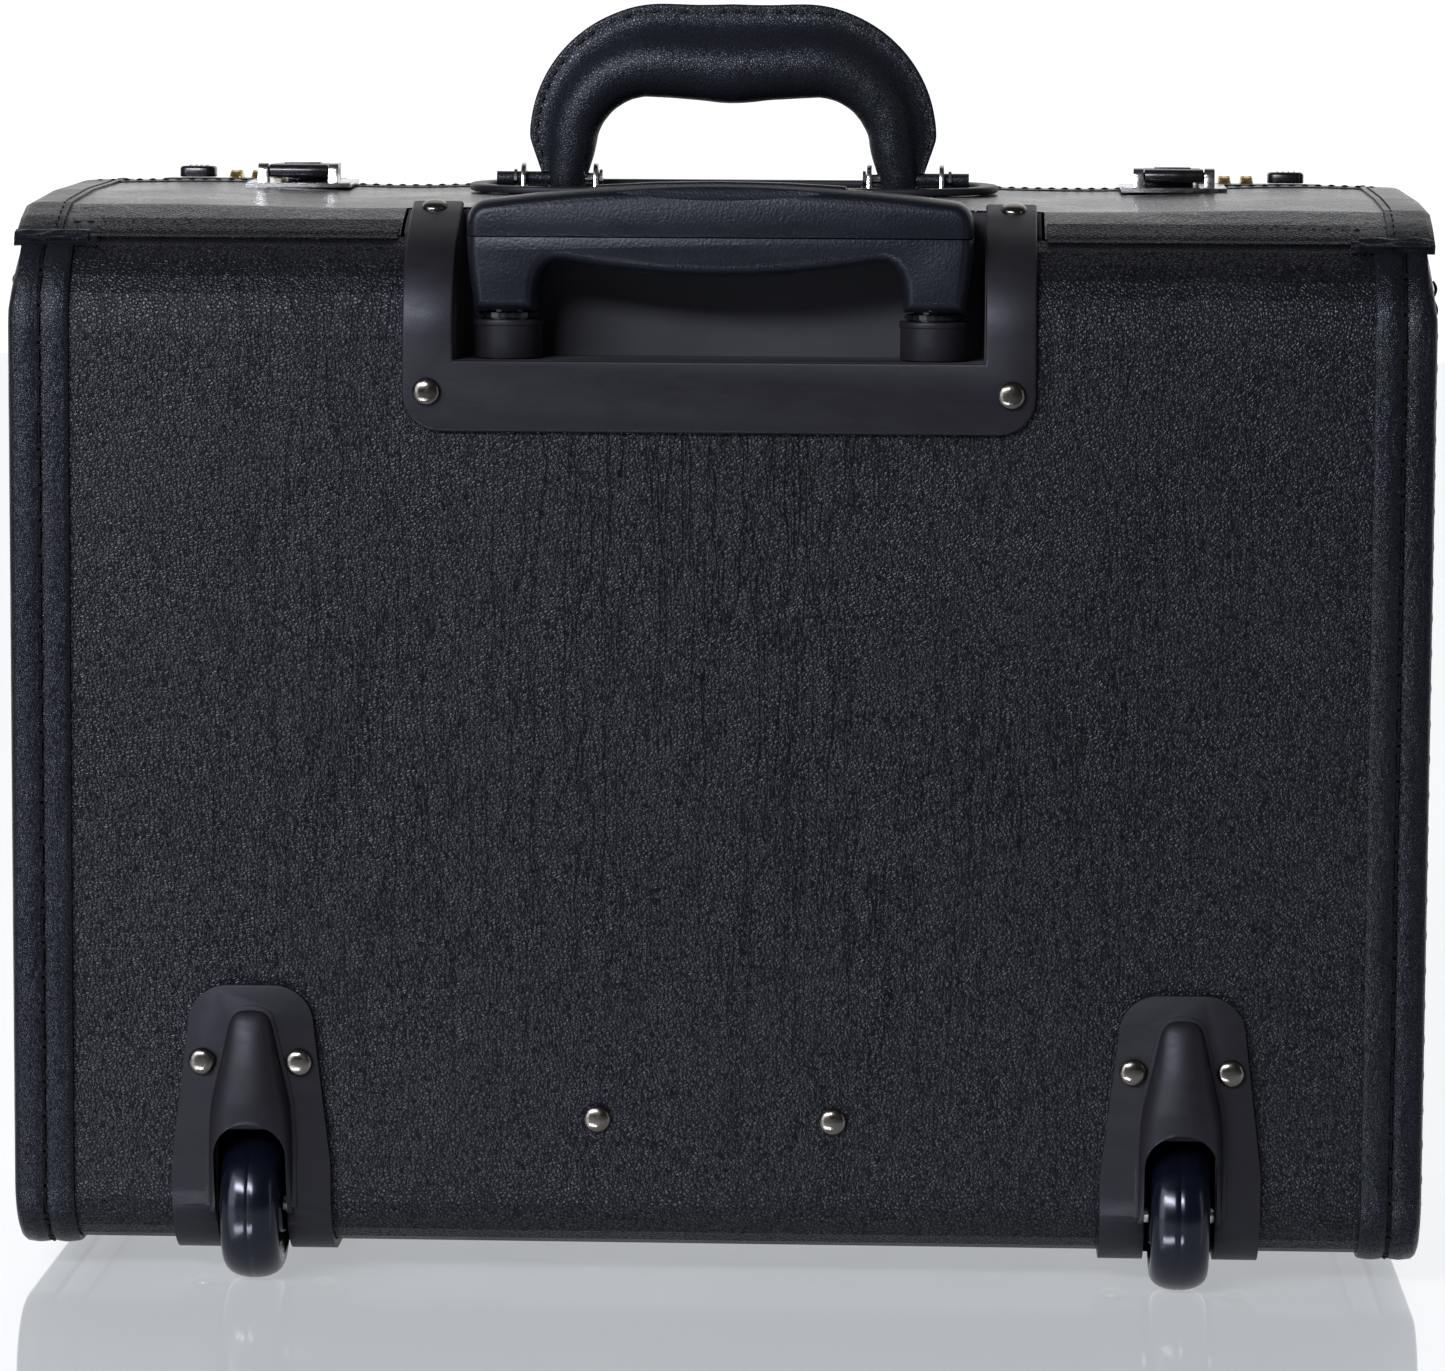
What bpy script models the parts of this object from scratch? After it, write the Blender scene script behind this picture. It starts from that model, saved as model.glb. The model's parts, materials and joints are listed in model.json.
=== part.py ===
"""Pilot rolling flight case, modelled as an assembly of separate pieces.

Units are metres, +Z is up.  The trolley and the wheels are on the -Y side, which is called
the rear, and the locks open towards the +Y side.  The floor is z = 0.
"""
import math

import bmesh
import bpy
from mathutils import Vector

# ---- body shell -----------------------------------------------------------------------
PANEL_OUTER = 0.2265      # centre to the outer face of a side panel
PANEL_THICK = 0.0045
GAP = 0.0003              # clearance kept between neighbouring pieces
WRAP_HALF = PANEL_OUTER - PANEL_THICK - GAP
BACK_Y = -0.1050          # outer face of the rear wall
FRONT_Y = 0.1177          # outer face of the front wall
UNDER_Z = 0.0108          # outer face of the bottom
CORNER_R = 0.0220         # bottom corners
SHOULDER_R = 0.0340       # rounded top shoulders
SHOULDER_Z = 0.3110       # height at which the shoulders begin
HEM_ANGLE = 65.0          # degrees of shoulder up to the hem
BOARD = 0.0040            # thickness of the covered board
ARC_STEPS = 6

# ---- edge bindings --------------------------------------------------------------------
BINDING_OUTER = 0.2300
BINDING_INNER = 0.2100
BINDING_RISE = 0.0023     # how far a binding stands off the shell
BINDING_DEPTH = 0.0160    # how far it reaches over a side panel
BINDING_END = 57.0        # degrees of shoulder covered

# ---- lids -----------------------------------------------------------------------------
LID_THICK = 0.0035
LID_HALF = 0.2304
EAR_THICK = 0.0032
SEAM_Y = 0.0500           # where the two lids meet
REAR_LINE = [(-0.0850, 0.3424), (-0.0760, 0.3470), (-0.0640, 0.3510),
             (-0.0200, 0.3540), (SEAM_Y, 0.3562)]
FRONT_LINE = [(SEAM_Y + 3 * GAP, 0.3562), (0.0775, 0.3558), (0.0865, 0.3512),
              (0.0935, 0.3470), (0.0977, 0.3424)]
REAR_EARS = [0.0042, 0.0060, 0.0100, 0.0110, 0.0060]
FRONT_EARS = [0.0060, 0.0100, 0.0080, 0.0060, 0.0042]
HINGE_Z = 0.3422
REAR_HINGE_Y = -0.0854
FRONT_HINGE_Y = 0.0981

# ---- trolley --------------------------------------------------------------------------
RECESS_HALF = 0.0853
RECESS_BACK = -0.0675
RECESS_FLOOR = 0.3030
TRAY_WALL = 0.0027
BEZEL_HALF = 0.1020
BEZEL_INNER = 0.0855
BEZEL_BOTTOM = 0.2800
BEZEL_THICK = 0.0025
LEG_TOP_Y = -0.0650       # where the bezel's legs end, above the shoulder
NOTCH_HALF = 0.1045       # notch in the rear lid, round the recess
NOTCH_Y = -0.0620
TUBE_X = 0.0690
TUBE_Y = -0.0900
INNER_TUBE_R = 0.0070
MIDDLE_TUBE_R = 0.0085
OUTER_TUBE_R = 0.0102
COLLAR_R = 0.0110
TUBE_WALL = 0.0010
TUBE_FOOT = 0.0400         # height of the bracket's shelf, above the bottom corner
GRIP_HALF = 0.0815
GRIP_REAR = -0.1070
GRIP_FRONT = -0.0770
GRIP_SEAM = 0.3427
GRIP_CROWN = 0.3597
GRIP_LEG_BOTTOM = 0.3190
BUTTON_HALF = 0.0405

# ---- wheels and feet ------------------------------------------------------------------
WHEEL_X = 0.1515
WHEEL_Y = -0.0950
WHEEL_R = 0.0250
WHEEL_HALF = 0.0100
WELL_R = 0.0272
WELL_HALF = 0.0115
WELL_OUTER = 0.0145
AXLE_R = 0.0030
HOUSING_TOP = 0.0990
RIVET_SHIFT = 0.0158
HOUSING_THICK = 0.0027
FOOT_X = 0.1500
FOOT_Y = 0.0880

# ---- carry handle and its mounting ------------------------------------------------------
HANDLE_Y = 0.0020
PIN_Z = 0.3595
PIN_R = 0.0020
BRIDGE_Y = (-0.0140, 0.0180)
BRIDGE_Z = (0.3380, 0.3460)
WELL_PLATE_Z = (0.3463, 0.3483)
BRACKET_Z = (0.3486, 0.3503)
RING_Y = 0.0120
RING_HOLE = (0.0840, 0.0240)
RING_WIDTH = 0.0060
RING_RISE = 0.0025

# ---- locks ----------------------------------------------------------------------------
HASP_X = 0.1500
HASP_HALF = 0.0100
HASP_AXIS = (0.0225, 0.3611)
HASP_R = 0.0023
HASP_TIP_Y = 0.0555
PLATE_HALF = 0.0180
LOCK_Y = (0.0562, 0.0768)
LOCK_TOP = 0.3578
LOCK_BOTTOM = 0.3565
LOCK_CASE_Z = 0.3462
DIAL_X = (0.1615, 0.1692, 0.1769)
DIAL_AXIS = (0.0660, 0.3546)
DIAL_R = 0.0060
DIAL_HALF = 0.0021
THUMB_X = 0.1905
THUMB_HALF = 0.00625
THUMB_HEIGHT = 0.0038

CLEAR = 0.0500            # how far a cutting shape runs past what it cuts
SIDES = {"left": -1.0, "right": 1.0}

FINISHES = {
    "covering": ((0.021, 0.022, 0.025), 0.55, 0.0),
    "binding": ((0.024, 0.025, 0.029), 0.45, 0.0),
    "board": ((0.055, 0.050, 0.045), 0.80, 0.0),
    "trim_plastic": ((0.020, 0.021, 0.024), 0.50, 0.0),
    "grip_plastic": ((0.026, 0.027, 0.033), 0.45, 0.0),
    "tube_metal": ((0.050, 0.050, 0.055), 0.30, 1.0),
    "rivet_metal": ((0.420, 0.400, 0.380), 0.28, 1.0),
    "steel": ((0.550, 0.550, 0.560), 0.35, 1.0),
    "lock_metal": ((0.060, 0.060, 0.065), 0.30, 1.0),
    "brass": ((0.720, 0.560, 0.260), 0.30, 1.0),
    "tyre": ((0.012, 0.013, 0.020), 0.22, 0.0),
    "foot_rubber": ((0.020, 0.020, 0.020), 0.85, 0.0),
}


# ---- small tools ------------------------------------------------------------------------
def clear_scene():
    """Remove every object, so the script can be run again."""
    for item in list(bpy.data.objects):
        bpy.data.objects.remove(item, do_unlink=True)


def finish(name):
    """Return the shared material called name."""
    found = bpy.data.materials.get(name)
    if found:
        return found
    colour, roughness, metallic = FINISHES[name]
    made = bpy.data.materials.new(name)
    made.use_nodes = True
    shader = made.node_tree.nodes["Principled BSDF"]
    shader.inputs["Base Color"].default_value = (*colour, 1.0)
    shader.inputs["Roughness"].default_value = roughness
    shader.inputs["Metallic"].default_value = metallic
    return made


def make_object(name, points, faces, look, smooth=True):
    """Make one mesh object from points and faces, with outward normals."""
    mesh = bpy.data.meshes.new(name)
    mesh.from_pydata(points, [], faces)
    work = bmesh.new()
    work.from_mesh(mesh)
    bmesh.ops.recalc_face_normals(work, faces=work.faces)
    work.to_mesh(mesh)
    work.free()
    if smooth:
        mesh.shade_smooth()
        mesh.set_sharp_from_angle(angle=math.radians(35.0))
    made = bpy.data.objects.new(name, mesh)
    bpy.context.scene.collection.objects.link(made)
    if look:
        mesh.materials.append(finish(look))
    return made


def make_cutter(name, points, faces):
    """Make a shape that only cuts, joins or trims another one."""
    made = make_object(name, points, faces, None)
    made.hide_render = True
    made.display_type = "WIRE"
    return made


def combine(target, tool, operation):
    """Apply one Boolean step to target."""
    step = target.modifiers.new(operation.lower(), "BOOLEAN")
    step.operation = operation
    step.solver = "EXACT"
    step.object = tool


def set_origin(item, point):
    """Move an object's origin to a world point and leave its shape where it is."""
    shift = Vector(point) - item.location
    for vertex in item.data.vertices:
        vertex.co -= shift
    item.location = Vector(point)


def make_empty(name, point, parent=None):
    """Make the empty that carries a moving group."""
    made = bpy.data.objects.new(name, None)
    made.location = point
    bpy.context.scene.collection.objects.link(made)
    if parent:
        attach(made, parent)
    return made


def attach(child, parent):
    """Parent child without moving it."""
    bpy.context.view_layer.update()
    child.parent = parent
    child.matrix_parent_inverse = parent.matrix_world.inverted()


# ---- plane figures ------------------------------------------------------------------------
def arc(centre, radius, start, end, steps=ARC_STEPS):
    """Points along an arc, angles in degrees."""
    points = []
    for index in range(steps + 1):
        angle = math.radians(start + (end - start) * index / steps)
        points.append((centre[0] + radius * math.cos(angle),
                       centre[1] + radius * math.sin(angle)))
    return points


def offset_line(points, distance):
    """Shift an open line to its right-hand side by distance, with mitred corners."""
    shifted = []
    for index, point in enumerate(points):
        before = Vector(points[max(index - 1, 0)])
        here = Vector(point)
        after = Vector(points[min(index + 1, len(points) - 1)])
        first = (here - before) if index > 0 else (after - here)
        last = (after - here) if index < len(points) - 1 else (here - before)
        normal_a = Vector((first.y, -first.x)).normalized()
        normal_b = Vector((last.y, -last.x)).normalized()
        mitre = (normal_a + normal_b).normalized()
        length = distance / mitre.dot(normal_a)
        shifted.append(tuple(here + mitre * length))
    return shifted


def offset_loop(points, distance):
    """Shrink a closed anticlockwise outline by distance, with mitred corners."""
    count = len(points)
    shifted = []
    for index, point in enumerate(points):
        here = Vector(point)
        first = here - Vector(points[index - 1])
        last = Vector(points[(index + 1) % count]) - here
        normal_a = Vector((-first.y, first.x)).normalized()
        normal_b = Vector((-last.y, last.x)).normalized()
        mitre = (normal_a + normal_b).normalized()
        shifted.append(tuple(here + mitre * (distance / mitre.dot(normal_a))))
    return shifted


def shell_path(inset, top_angle=HEM_ANGLE):
    """Section of the shell in YZ, from the rear hem down, under and up to the front hem."""
    shoulder = SHOULDER_R - inset
    corner = CORNER_R - inset
    low = UNDER_Z + CORNER_R
    path = arc((BACK_Y + SHOULDER_R, SHOULDER_Z), shoulder, 180.0 - top_angle, 180.0)
    path += arc((BACK_Y + CORNER_R, low), corner, 180.0, 270.0)
    path += arc((FRONT_Y - CORNER_R, low), corner, 270.0, 360.0)
    path += arc((FRONT_Y - SHOULDER_R, SHOULDER_Z), shoulder, 0.0, top_angle)
    return path


def rounded_box_outline(u0, u1, v0, v1, radius, steps=4):
    """Anticlockwise rectangle with four round corners."""
    return (arc((u1 - radius, v0 + radius), radius, -90.0, 0.0, steps)
            + arc((u1 - radius, v1 - radius), radius, 0.0, 90.0, steps)
            + arc((u0 + radius, v1 - radius), radius, 90.0, 180.0, steps)
            + arc((u0 + radius, v0 + radius), radius, 180.0, 270.0, steps))


def rear_lid_height(y):
    """Height of the rear lid's top surface at y."""
    for (y0, z0), (y1, z1) in zip(REAR_LINE, REAR_LINE[1:]):
        if y0 <= y <= y1:
            return z0 + (z1 - z0) * (y - y0) / (y1 - y0)
    return REAR_LINE[-1][1]


# ---- solid figures ------------------------------------------------------------------------
def skin(rings, closed_ends=True):
    """Points and faces of a tube of equal rings, capped at both ends."""
    size = len(rings[0])
    points = [point for ring in rings for point in ring]
    faces = []
    for level in range(len(rings) - 1):
        for index in range(size):
            follow = (index + 1) % size
            base = level * size
            faces.append((base + index, base + follow,
                          base + size + follow, base + size + index))
    if closed_ends:
        faces.append(tuple(range(size)))
        faces.append(tuple(range((len(rings) - 1) * size, len(rings) * size)))
    return points, faces


def prism_x(outline, x0, x1):
    """Outline in YZ, extruded along X."""
    return skin([[(x, y, z) for y, z in outline] for x in (x0, x1)])


def prism_y(outline, y0, y1):
    """Outline in XZ, extruded along Y."""
    return skin([[(x, y, z) for x, z in outline] for y in (y0, y1)])


def prism_z(outline, z0, z1):
    """Outline in XY, extruded along Z."""
    return skin([[(x, y, z) for x, y in outline] for z in (z0, z1)])


def block(x0, x1, y0, y1, z0, z1):
    """Plain box, whichever way round its limits are given."""
    left, right = min(x0, x1), max(x0, x1)
    return prism_z([(left, y0), (right, y0), (right, y1), (left, y1)], z0, z1)


def soft_block(x0, x1, y0, y1, z0, z1, radius, top_round):
    """Box with round corners and a rounded top edge."""
    left, right = min(x0, x1), max(x0, x1)
    rings = []
    for height, inset in ((z0, 0.0), (z1 - top_round, 0.0),
                          (z1 - 0.3 * top_round, 0.3 * top_round), (z1, top_round)):
        outline = rounded_box_outline(left + inset, right - inset, y0 + inset, y1 - inset,
                                      max(radius - inset, 0.0002), 3)
        rings.append([(x, y, height) for x, y in outline])
    return skin(rings)


def turned(profile, segments, ring=False):
    """Turn a (radius, height) profile about Z; a ring's profile closes on itself."""
    points = []
    faces = []
    starts = []
    for radius, height in profile:
        starts.append(len(points))
        if radius == 0.0:
            points.append((0.0, 0.0, height))
            continue
        for index in range(segments):
            angle = 2.0 * math.pi * index / segments
            points.append((radius * math.cos(angle), radius * math.sin(angle), height))
    pairs = list(zip(range(len(profile)), range(1, len(profile))))
    if ring:
        pairs.append((len(profile) - 1, 0))
    for low, high in pairs:
        for index in range(segments):
            follow = (index + 1) % segments
            corners = turned_face(profile, starts, low, high, index, follow)
            faces.append(corners)
    return points, faces


def turned_face(profile, starts, low, high, index, follow):
    """One face between two rings of a turned shape, a triangle at a pole."""
    if profile[low][0] == 0.0:
        return (starts[low], starts[high] + index, starts[high] + follow)
    if profile[high][0] == 0.0:
        return (starts[low] + index, starts[low] + follow, starts[high])
    return (starts[low] + index, starts[low] + follow,
            starts[high] + follow, starts[high] + index)


def rod_points(shape, start, axis):
    """Carry points turned about Z to a rod that starts at a point and runs along axis."""
    points, faces = shape
    turn = Vector((0.0, 0.0, 1.0)).rotation_difference(Vector(axis))
    return [tuple(Vector(start) + turn @ Vector(point)) for point in points], faces


def rod(radius, length, segments=16):
    """Plain cylinder on Z from 0 to length."""
    return turned([(0.0, 0.0), (radius, 0.0), (radius, length), (0.0, length)], segments)


def aim(item, point, axis):
    """Place an object turned about Z so that its own Z runs along axis."""
    item.location = point
    item.rotation_mode = "QUATERNION"
    item.rotation_quaternion = Vector((0.0, 0.0, 1.0)).rotation_difference(Vector(axis))


# ---- body -----------------------------------------------------------------------------
def bezel_path(offset):
    """Line up the rear wall, over the shoulder and on to the top of the bezel's legs."""
    wall = [(BACK_Y - offset, BEZEL_BOTTOM)]
    wall += arc((BACK_Y + SHOULDER_R, SHOULDER_Z), SHOULDER_R + offset, 180.0,
                180.0 - HEM_ANGLE)
    top = [REAR_LINE[0], REAR_LINE[1], (LEG_TOP_Y, rear_lid_height(LEG_TOP_Y))]
    return wall + offset_line(top, -offset)[1:]


def make_wrap():
    """Board that forms the rear wall, the bottom and the front wall in one bent piece."""
    outline = shell_path(0.0) + shell_path(BOARD)[::-1]
    wrap = make_object("body_wrap", *prism_x(outline, -WRAP_HALF, WRAP_HALF), "covering")
    half = RECESS_HALF + TRAY_WALL + GAP
    notch = make_cutter("recess_cut", *block(-half, half, BACK_Y - CLEAR, NOTCH_Y,
                                             RECESS_FLOOR - TRAY_WALL - GAP, 0.40))
    combine(wrap, notch, "DIFFERENCE")
    for side, sign in SIDES.items():
        inner = sign * (WHEEL_X - WELL_OUTER - GAP)
        outer = sign * (WHEEL_X + WELL_OUTER + GAP)
        well = make_cutter("well_cut_" + side, *block(inner, outer, BACK_Y - CLEAR, -0.0655,
                                                      -CLEAR, 0.0583))
        combine(wrap, well, "DIFFERENCE")
    return wrap


def make_side_panel(side, sign):
    """Flat end panel, cut to the shell's section and to the underside of the lids."""
    under = LID_THICK + 0.0004
    top = offset_line(REAR_LINE, under)[:-1]
    top += [(SEAM_Y, REAR_LINE[-1][1] - under)]
    top += offset_line(FRONT_LINE, under)[1:]
    outline = shell_path(0.0) + top[::-1]
    return make_object("side_panel_" + side,
                       *prism_x(outline, sign * (PANEL_OUTER - PANEL_THICK), sign * PANEL_OUTER),
                       "covering")


def make_binding(side, sign):
    """Stitched strip folded over the corner between the shell and a side panel."""
    rise = BINDING_RISE
    section = [(BINDING_INNER, -GAP), (BINDING_INNER, -0.7 * rise),
               (BINDING_INNER + 0.0012, -rise), (BINDING_OUTER - 0.0030, -rise),
               (BINDING_OUTER - 0.0010, -0.6 * rise), (BINDING_OUTER - 0.0002, 0.2 * rise),
               (BINDING_OUTER, 1.3 * rise), (BINDING_OUTER, BINDING_DEPTH - 0.001),
               (BINDING_OUTER - 0.0010, BINDING_DEPTH), (PANEL_OUTER + GAP, BINDING_DEPTH),
               (PANEL_OUTER + GAP, -GAP)]
    lines = [shell_path(inset, BINDING_END) for _, inset in section]
    rings = []
    for station in range(len(lines[0])):
        rings.append([(sign * x, *line[station]) for (x, _), line in zip(section, lines)])
    return make_object("edge_binding_" + side, *skin(rings), "binding")


def make_inside():
    """Bridge that carries the handle, the divider under it and the plate that closes the oval."""
    bridge = make_object("handle_bridge", *block(-WRAP_HALF, WRAP_HALF, *BRIDGE_Y, *BRIDGE_Z),
                         "board", smooth=False)
    bevel = bridge.modifiers.new("edges", "BEVEL")
    bevel.width = 0.0008
    bevel.segments = 1
    divider = make_object("file_divider",
                          *block(-WRAP_HALF, WRAP_HALF, 0.0005, 0.0035,
                                 UNDER_Z + BOARD + GAP, BRIDGE_Z[0] - GAP),
                          "board", smooth=False)
    outline = rounded_box_outline(-0.0920, 0.0920, -0.0160, 0.0400, 0.0270, 5)
    plate = make_object("handle_well", *prism_z(outline, *WELL_PLATE_Z), "trim_plastic")
    return [bridge, divider, plate]


# ---- trolley --------------------------------------------------------------------------
def make_recess_tray():
    """Open tray let into the rear shoulder, with a shelf each side under the bezel's legs."""
    inset = 0.0004
    outer = RECESS_HALF + TRAY_WALL
    back = RECESS_BACK + TRAY_WALL
    top = bezel_path(-inset)[1:]
    outline = [(BACK_Y + inset, RECESS_FLOOR - TRAY_WALL)] + top
    outline += [(back, rear_lid_height(back) - inset), (back, RECESS_FLOOR - TRAY_WALL)]
    outline = [point for point in outline if point[0] <= back]
    tray = make_object("recess_tray", *prism_x(outline, -outer, outer), "covering")
    hollow = make_cutter("recess_hollow", *block(-RECESS_HALF, RECESS_HALF, BACK_Y - CLEAR,
                                                 RECESS_BACK, RECESS_FLOOR, 0.40))
    combine(tray, hollow, "DIFFERENCE")
    shelf_line = [(-0.0825, rear_lid_height(-0.0825)), REAR_LINE[1],
                  (LEG_TOP_Y, rear_lid_height(LEG_TOP_Y))]
    shelf = offset_line(shelf_line, inset) + offset_line(shelf_line, 0.0034)[::-1]
    for side, sign in SIDES.items():
        ledge = make_cutter("ledge_" + side, *prism_x(shelf, sign * (outer - 0.001),
                                                      sign * (NOTCH_HALF - 0.0010)))
        combine(tray, ledge, "UNION")
        hole = make_cutter("tube_hole_" + side,
                           *rod_points(rod(MIDDLE_TUBE_R + GAP, 0.02, 20),
                                       (sign * TUBE_X, TUBE_Y, RECESS_FLOOR - 0.01), (0, 0, 1)))
        combine(tray, hole, "DIFFERENCE")
    return tray


def bezel_outline():
    """U-shaped front view of the bezel."""
    top = 0.3800
    radius = 0.0120
    outline = [(BEZEL_HALF, top), (BEZEL_INNER, top), (BEZEL_INNER, RECESS_FLOOR),
               (-BEZEL_INNER, RECESS_FLOOR), (-BEZEL_INNER, top), (-BEZEL_HALF, top)]
    low = BEZEL_BOTTOM + radius
    outline += arc((-BEZEL_HALF + radius, low), radius, 180.0, 270.0)
    outline += arc((BEZEL_HALF - radius, low), radius, 270.0, 360.0)
    return outline


def make_bezel():
    """Smooth plastic frame round the recess; its legs bend over the shoulder."""
    strip = bezel_path(GAP) + bezel_path(GAP + BEZEL_THICK)[::-1]
    bezel = make_object("trolley_bezel", *prism_x(strip, -0.12, 0.12), "trim_plastic")
    trim = make_cutter("bezel_outline", *prism_y(bezel_outline(), -0.15, -0.05))
    combine(bezel, trim, "INTERSECT")
    return bezel


def make_foot_bracket():
    """Steel bracket inside the rear wall; the outer tubes stand on its shelf."""
    wall = BACK_Y + BOARD + GAP
    upright = make_object("tube_foot_bracket", *block(-0.0560, 0.0560, wall, wall + 0.002,
                                                      TUBE_FOOT - 0.0025, 0.0700),
                          "steel", smooth=False)
    shelf = make_cutter("bracket_shelf", *block(-0.0820, 0.0820, wall, -0.0780,
                                                TUBE_FOOT - 0.0025, TUBE_FOOT))
    combine(upright, shelf, "UNION")
    return upright


def tube(name, outer, wall, z0, z1, sign, look, lip=0.0):
    """Round tube on a trolley axis, with an optional lip round its top."""
    length = z1 - z0
    profile = [(outer - wall, 0.0), (outer, 0.0)]
    if lip:
        profile += [(outer, length - 0.0020), (outer + lip, length - 0.0018),
                    (outer + lip, length - 0.0002)]
    profile += [(outer, length), (outer - wall, length)]
    made = make_object(name, *turned(profile, 24, ring=True), look)
    made.location = (sign * TUBE_X, TUBE_Y, z0)
    return made


def grip_outline():
    """Anticlockwise front view of the whole grip: crown, two legs and the arched underside."""
    steps = 8
    crown_half = 0.0740
    arch_half = 0.0500
    leg = [(GRIP_HALF, 0.3490), (crown_half + 0.0035, 0.3530)]
    crown = []
    for index in range(steps + 1):
        x = crown_half - 2.0 * crown_half * index / steps
        crown.append((x, GRIP_CROWN - 0.0050 * (x / crown_half) ** 2))
    arch = []
    for index in range(steps + 1):
        x = -arch_half + 2.0 * arch_half * index / steps
        arch.append((x, 0.3300 + 0.0046 * (x / arch_half) ** 2))
    left = [(-x, z) for x, z in leg[::-1]]
    left += [(-GRIP_HALF, 0.3400), (-0.0790, GRIP_LEG_BOTTOM), (-0.0592, GRIP_LEG_BOTTOM),
             (-0.0582, 0.3295), (-0.0552, 0.3338)]
    right = [(-x, z) for x, z in left[2:]][::-1]
    return leg + crown + left + arch + right


def pillow(outline, y0, y1, rounding):
    """Prism along Y with rounded rear and front edges."""
    rings = []
    levels = [(y0, rounding), (y0 + 0.3 * rounding, 0.3 * rounding), (y0 + rounding, 0.0),
              (y1 - rounding, 0.0), (y1 - 0.3 * rounding, 0.3 * rounding), (y1, rounding)]
    for y, inset in levels:
        rings.append([(x, y, z) for x, z in offset_loop(outline, inset)])
    return skin(rings)


def make_grip():
    """Grip in two moulded halves; the inner tubes plug into its legs."""
    shape = pillow(grip_outline(), GRIP_REAR, GRIP_FRONT, 0.0045)
    upper = make_object("grip_upper", *shape, "grip_plastic")
    lower = make_object("grip_lower", *shape, "grip_plastic")
    below = make_cutter("below_seam", *block(-0.12, 0.12, -0.15, -0.04, 0.28,
                                             GRIP_SEAM + GAP / 2))
    above = make_cutter("above_seam", *block(-0.12, 0.12, -0.15, -0.04,
                                             GRIP_SEAM - GAP / 2, 0.40))
    combine(upper, below, "DIFFERENCE")
    combine(lower, above, "DIFFERENCE")
    half = BUTTON_HALF + GAP
    pocket = make_cutter("button_pocket", *block(-half, half, -0.0993, -0.0857, 0.3490, 0.38))
    combine(upper, pocket, "DIFFERENCE")
    for side, sign in SIDES.items():
        socket = make_cutter("leg_socket_" + side,
                             *rod_points(rod(INNER_TUBE_R + GAP, 0.0320, 20),
                                         (sign * TUBE_X, TUBE_Y, 0.3000), (0, 0, 1)))
        combine(lower, socket, "DIFFERENCE")
    return [upper, lower]


def make_release_button():
    """Long press bar let into the crown of the grip."""
    steps = 8
    crown = []
    for index in range(steps + 1):
        x = BUTTON_HALF - 2.0 * BUTTON_HALF * index / steps
        crown.append((x, GRIP_CROWN + 0.0008 - 0.0014 * (x / BUTTON_HALF) ** 2))
    outline = [(-BUTTON_HALF, 0.3530), (BUTTON_HALF, 0.3530)] + crown
    button = make_object("release_button", *prism_y(outline, -0.0990, -0.0860),
                         "grip_plastic", smooth=False)
    set_origin(button, (0.0, -0.0925, 0.3530))
    return button


# ---- wheels ---------------------------------------------------------------------------
def housing_strip():
    """Section of the housing plate: up the rear wall, round the corner and under the body."""
    lines = []
    for offset in (GAP, GAP + HOUSING_THICK):
        line = [(BACK_Y - offset, HOUSING_TOP + 0.01)]
        line += arc((BACK_Y + CORNER_R, UNDER_Z + CORNER_R), CORNER_R + offset, 180.0, 270.0)
        line.append((-0.0640, UNDER_Z - offset))
        lines.append(line)
    return lines[0] + lines[1][::-1]


def well_section():
    """Side view of the well: square inside the case, round where it follows the corner."""
    well_top = 0.0580
    well_front = -0.0658
    offset = GAP + HOUSING_THICK - 0.0002
    line = [(BACK_Y - offset, well_top)]
    line += arc((BACK_Y + CORNER_R, UNDER_Z + CORNER_R), CORNER_R + offset, 180.0, 270.0)
    line += [(well_front, UNDER_Z - offset), (well_front, well_top)]
    return line


def housing_outline(centre):
    """Front view of the plate: round-topped and a little wider at the bottom."""
    top_half = 0.0205
    low_half = 0.0260
    radius = 0.0130
    outline = [(centre - low_half, 0.0), (centre + low_half, 0.0), (centre + low_half, 0.0400)]
    outline += arc((centre + top_half - radius, HOUSING_TOP - radius), radius, 0.0, 90.0)
    outline += arc((centre - top_half + radius, HOUSING_TOP - radius), radius, 90.0, 180.0)
    outline.append((centre - low_half, 0.0400))
    return outline


def cowl(centre):
    """Hood over the wheel, lofted from half-round sections."""
    stations = [(0.0908, 0.0014, 0.0005), (0.0895, 0.0042, 0.0018), (0.0868, 0.0062, 0.0034),
                (0.0820, 0.0078, 0.0053), (0.0740, 0.0097, 0.0076), (0.0660, 0.0117, 0.0092),
                (0.0590, 0.0132, 0.0101), (0.0480, 0.0138, 0.0094), (0.0360, 0.0138, 0.0060),
                (0.0240, 0.0138, 0.0006)]
    face = BACK_Y - GAP - HOUSING_THICK
    rings = []
    for height, half, reach in stations:
        ring = [(centre + half, face + 0.0015, height)]
        for index in range(11):
            angle = math.pi * index / 10
            ring.append((centre + half * math.cos(angle),
                         face - reach * math.sin(angle) ** 0.7 - 0.0001, height))
        ring.append((centre - half, face + 0.0015, height))
        rings.append(ring)
    return skin(rings)


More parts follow.
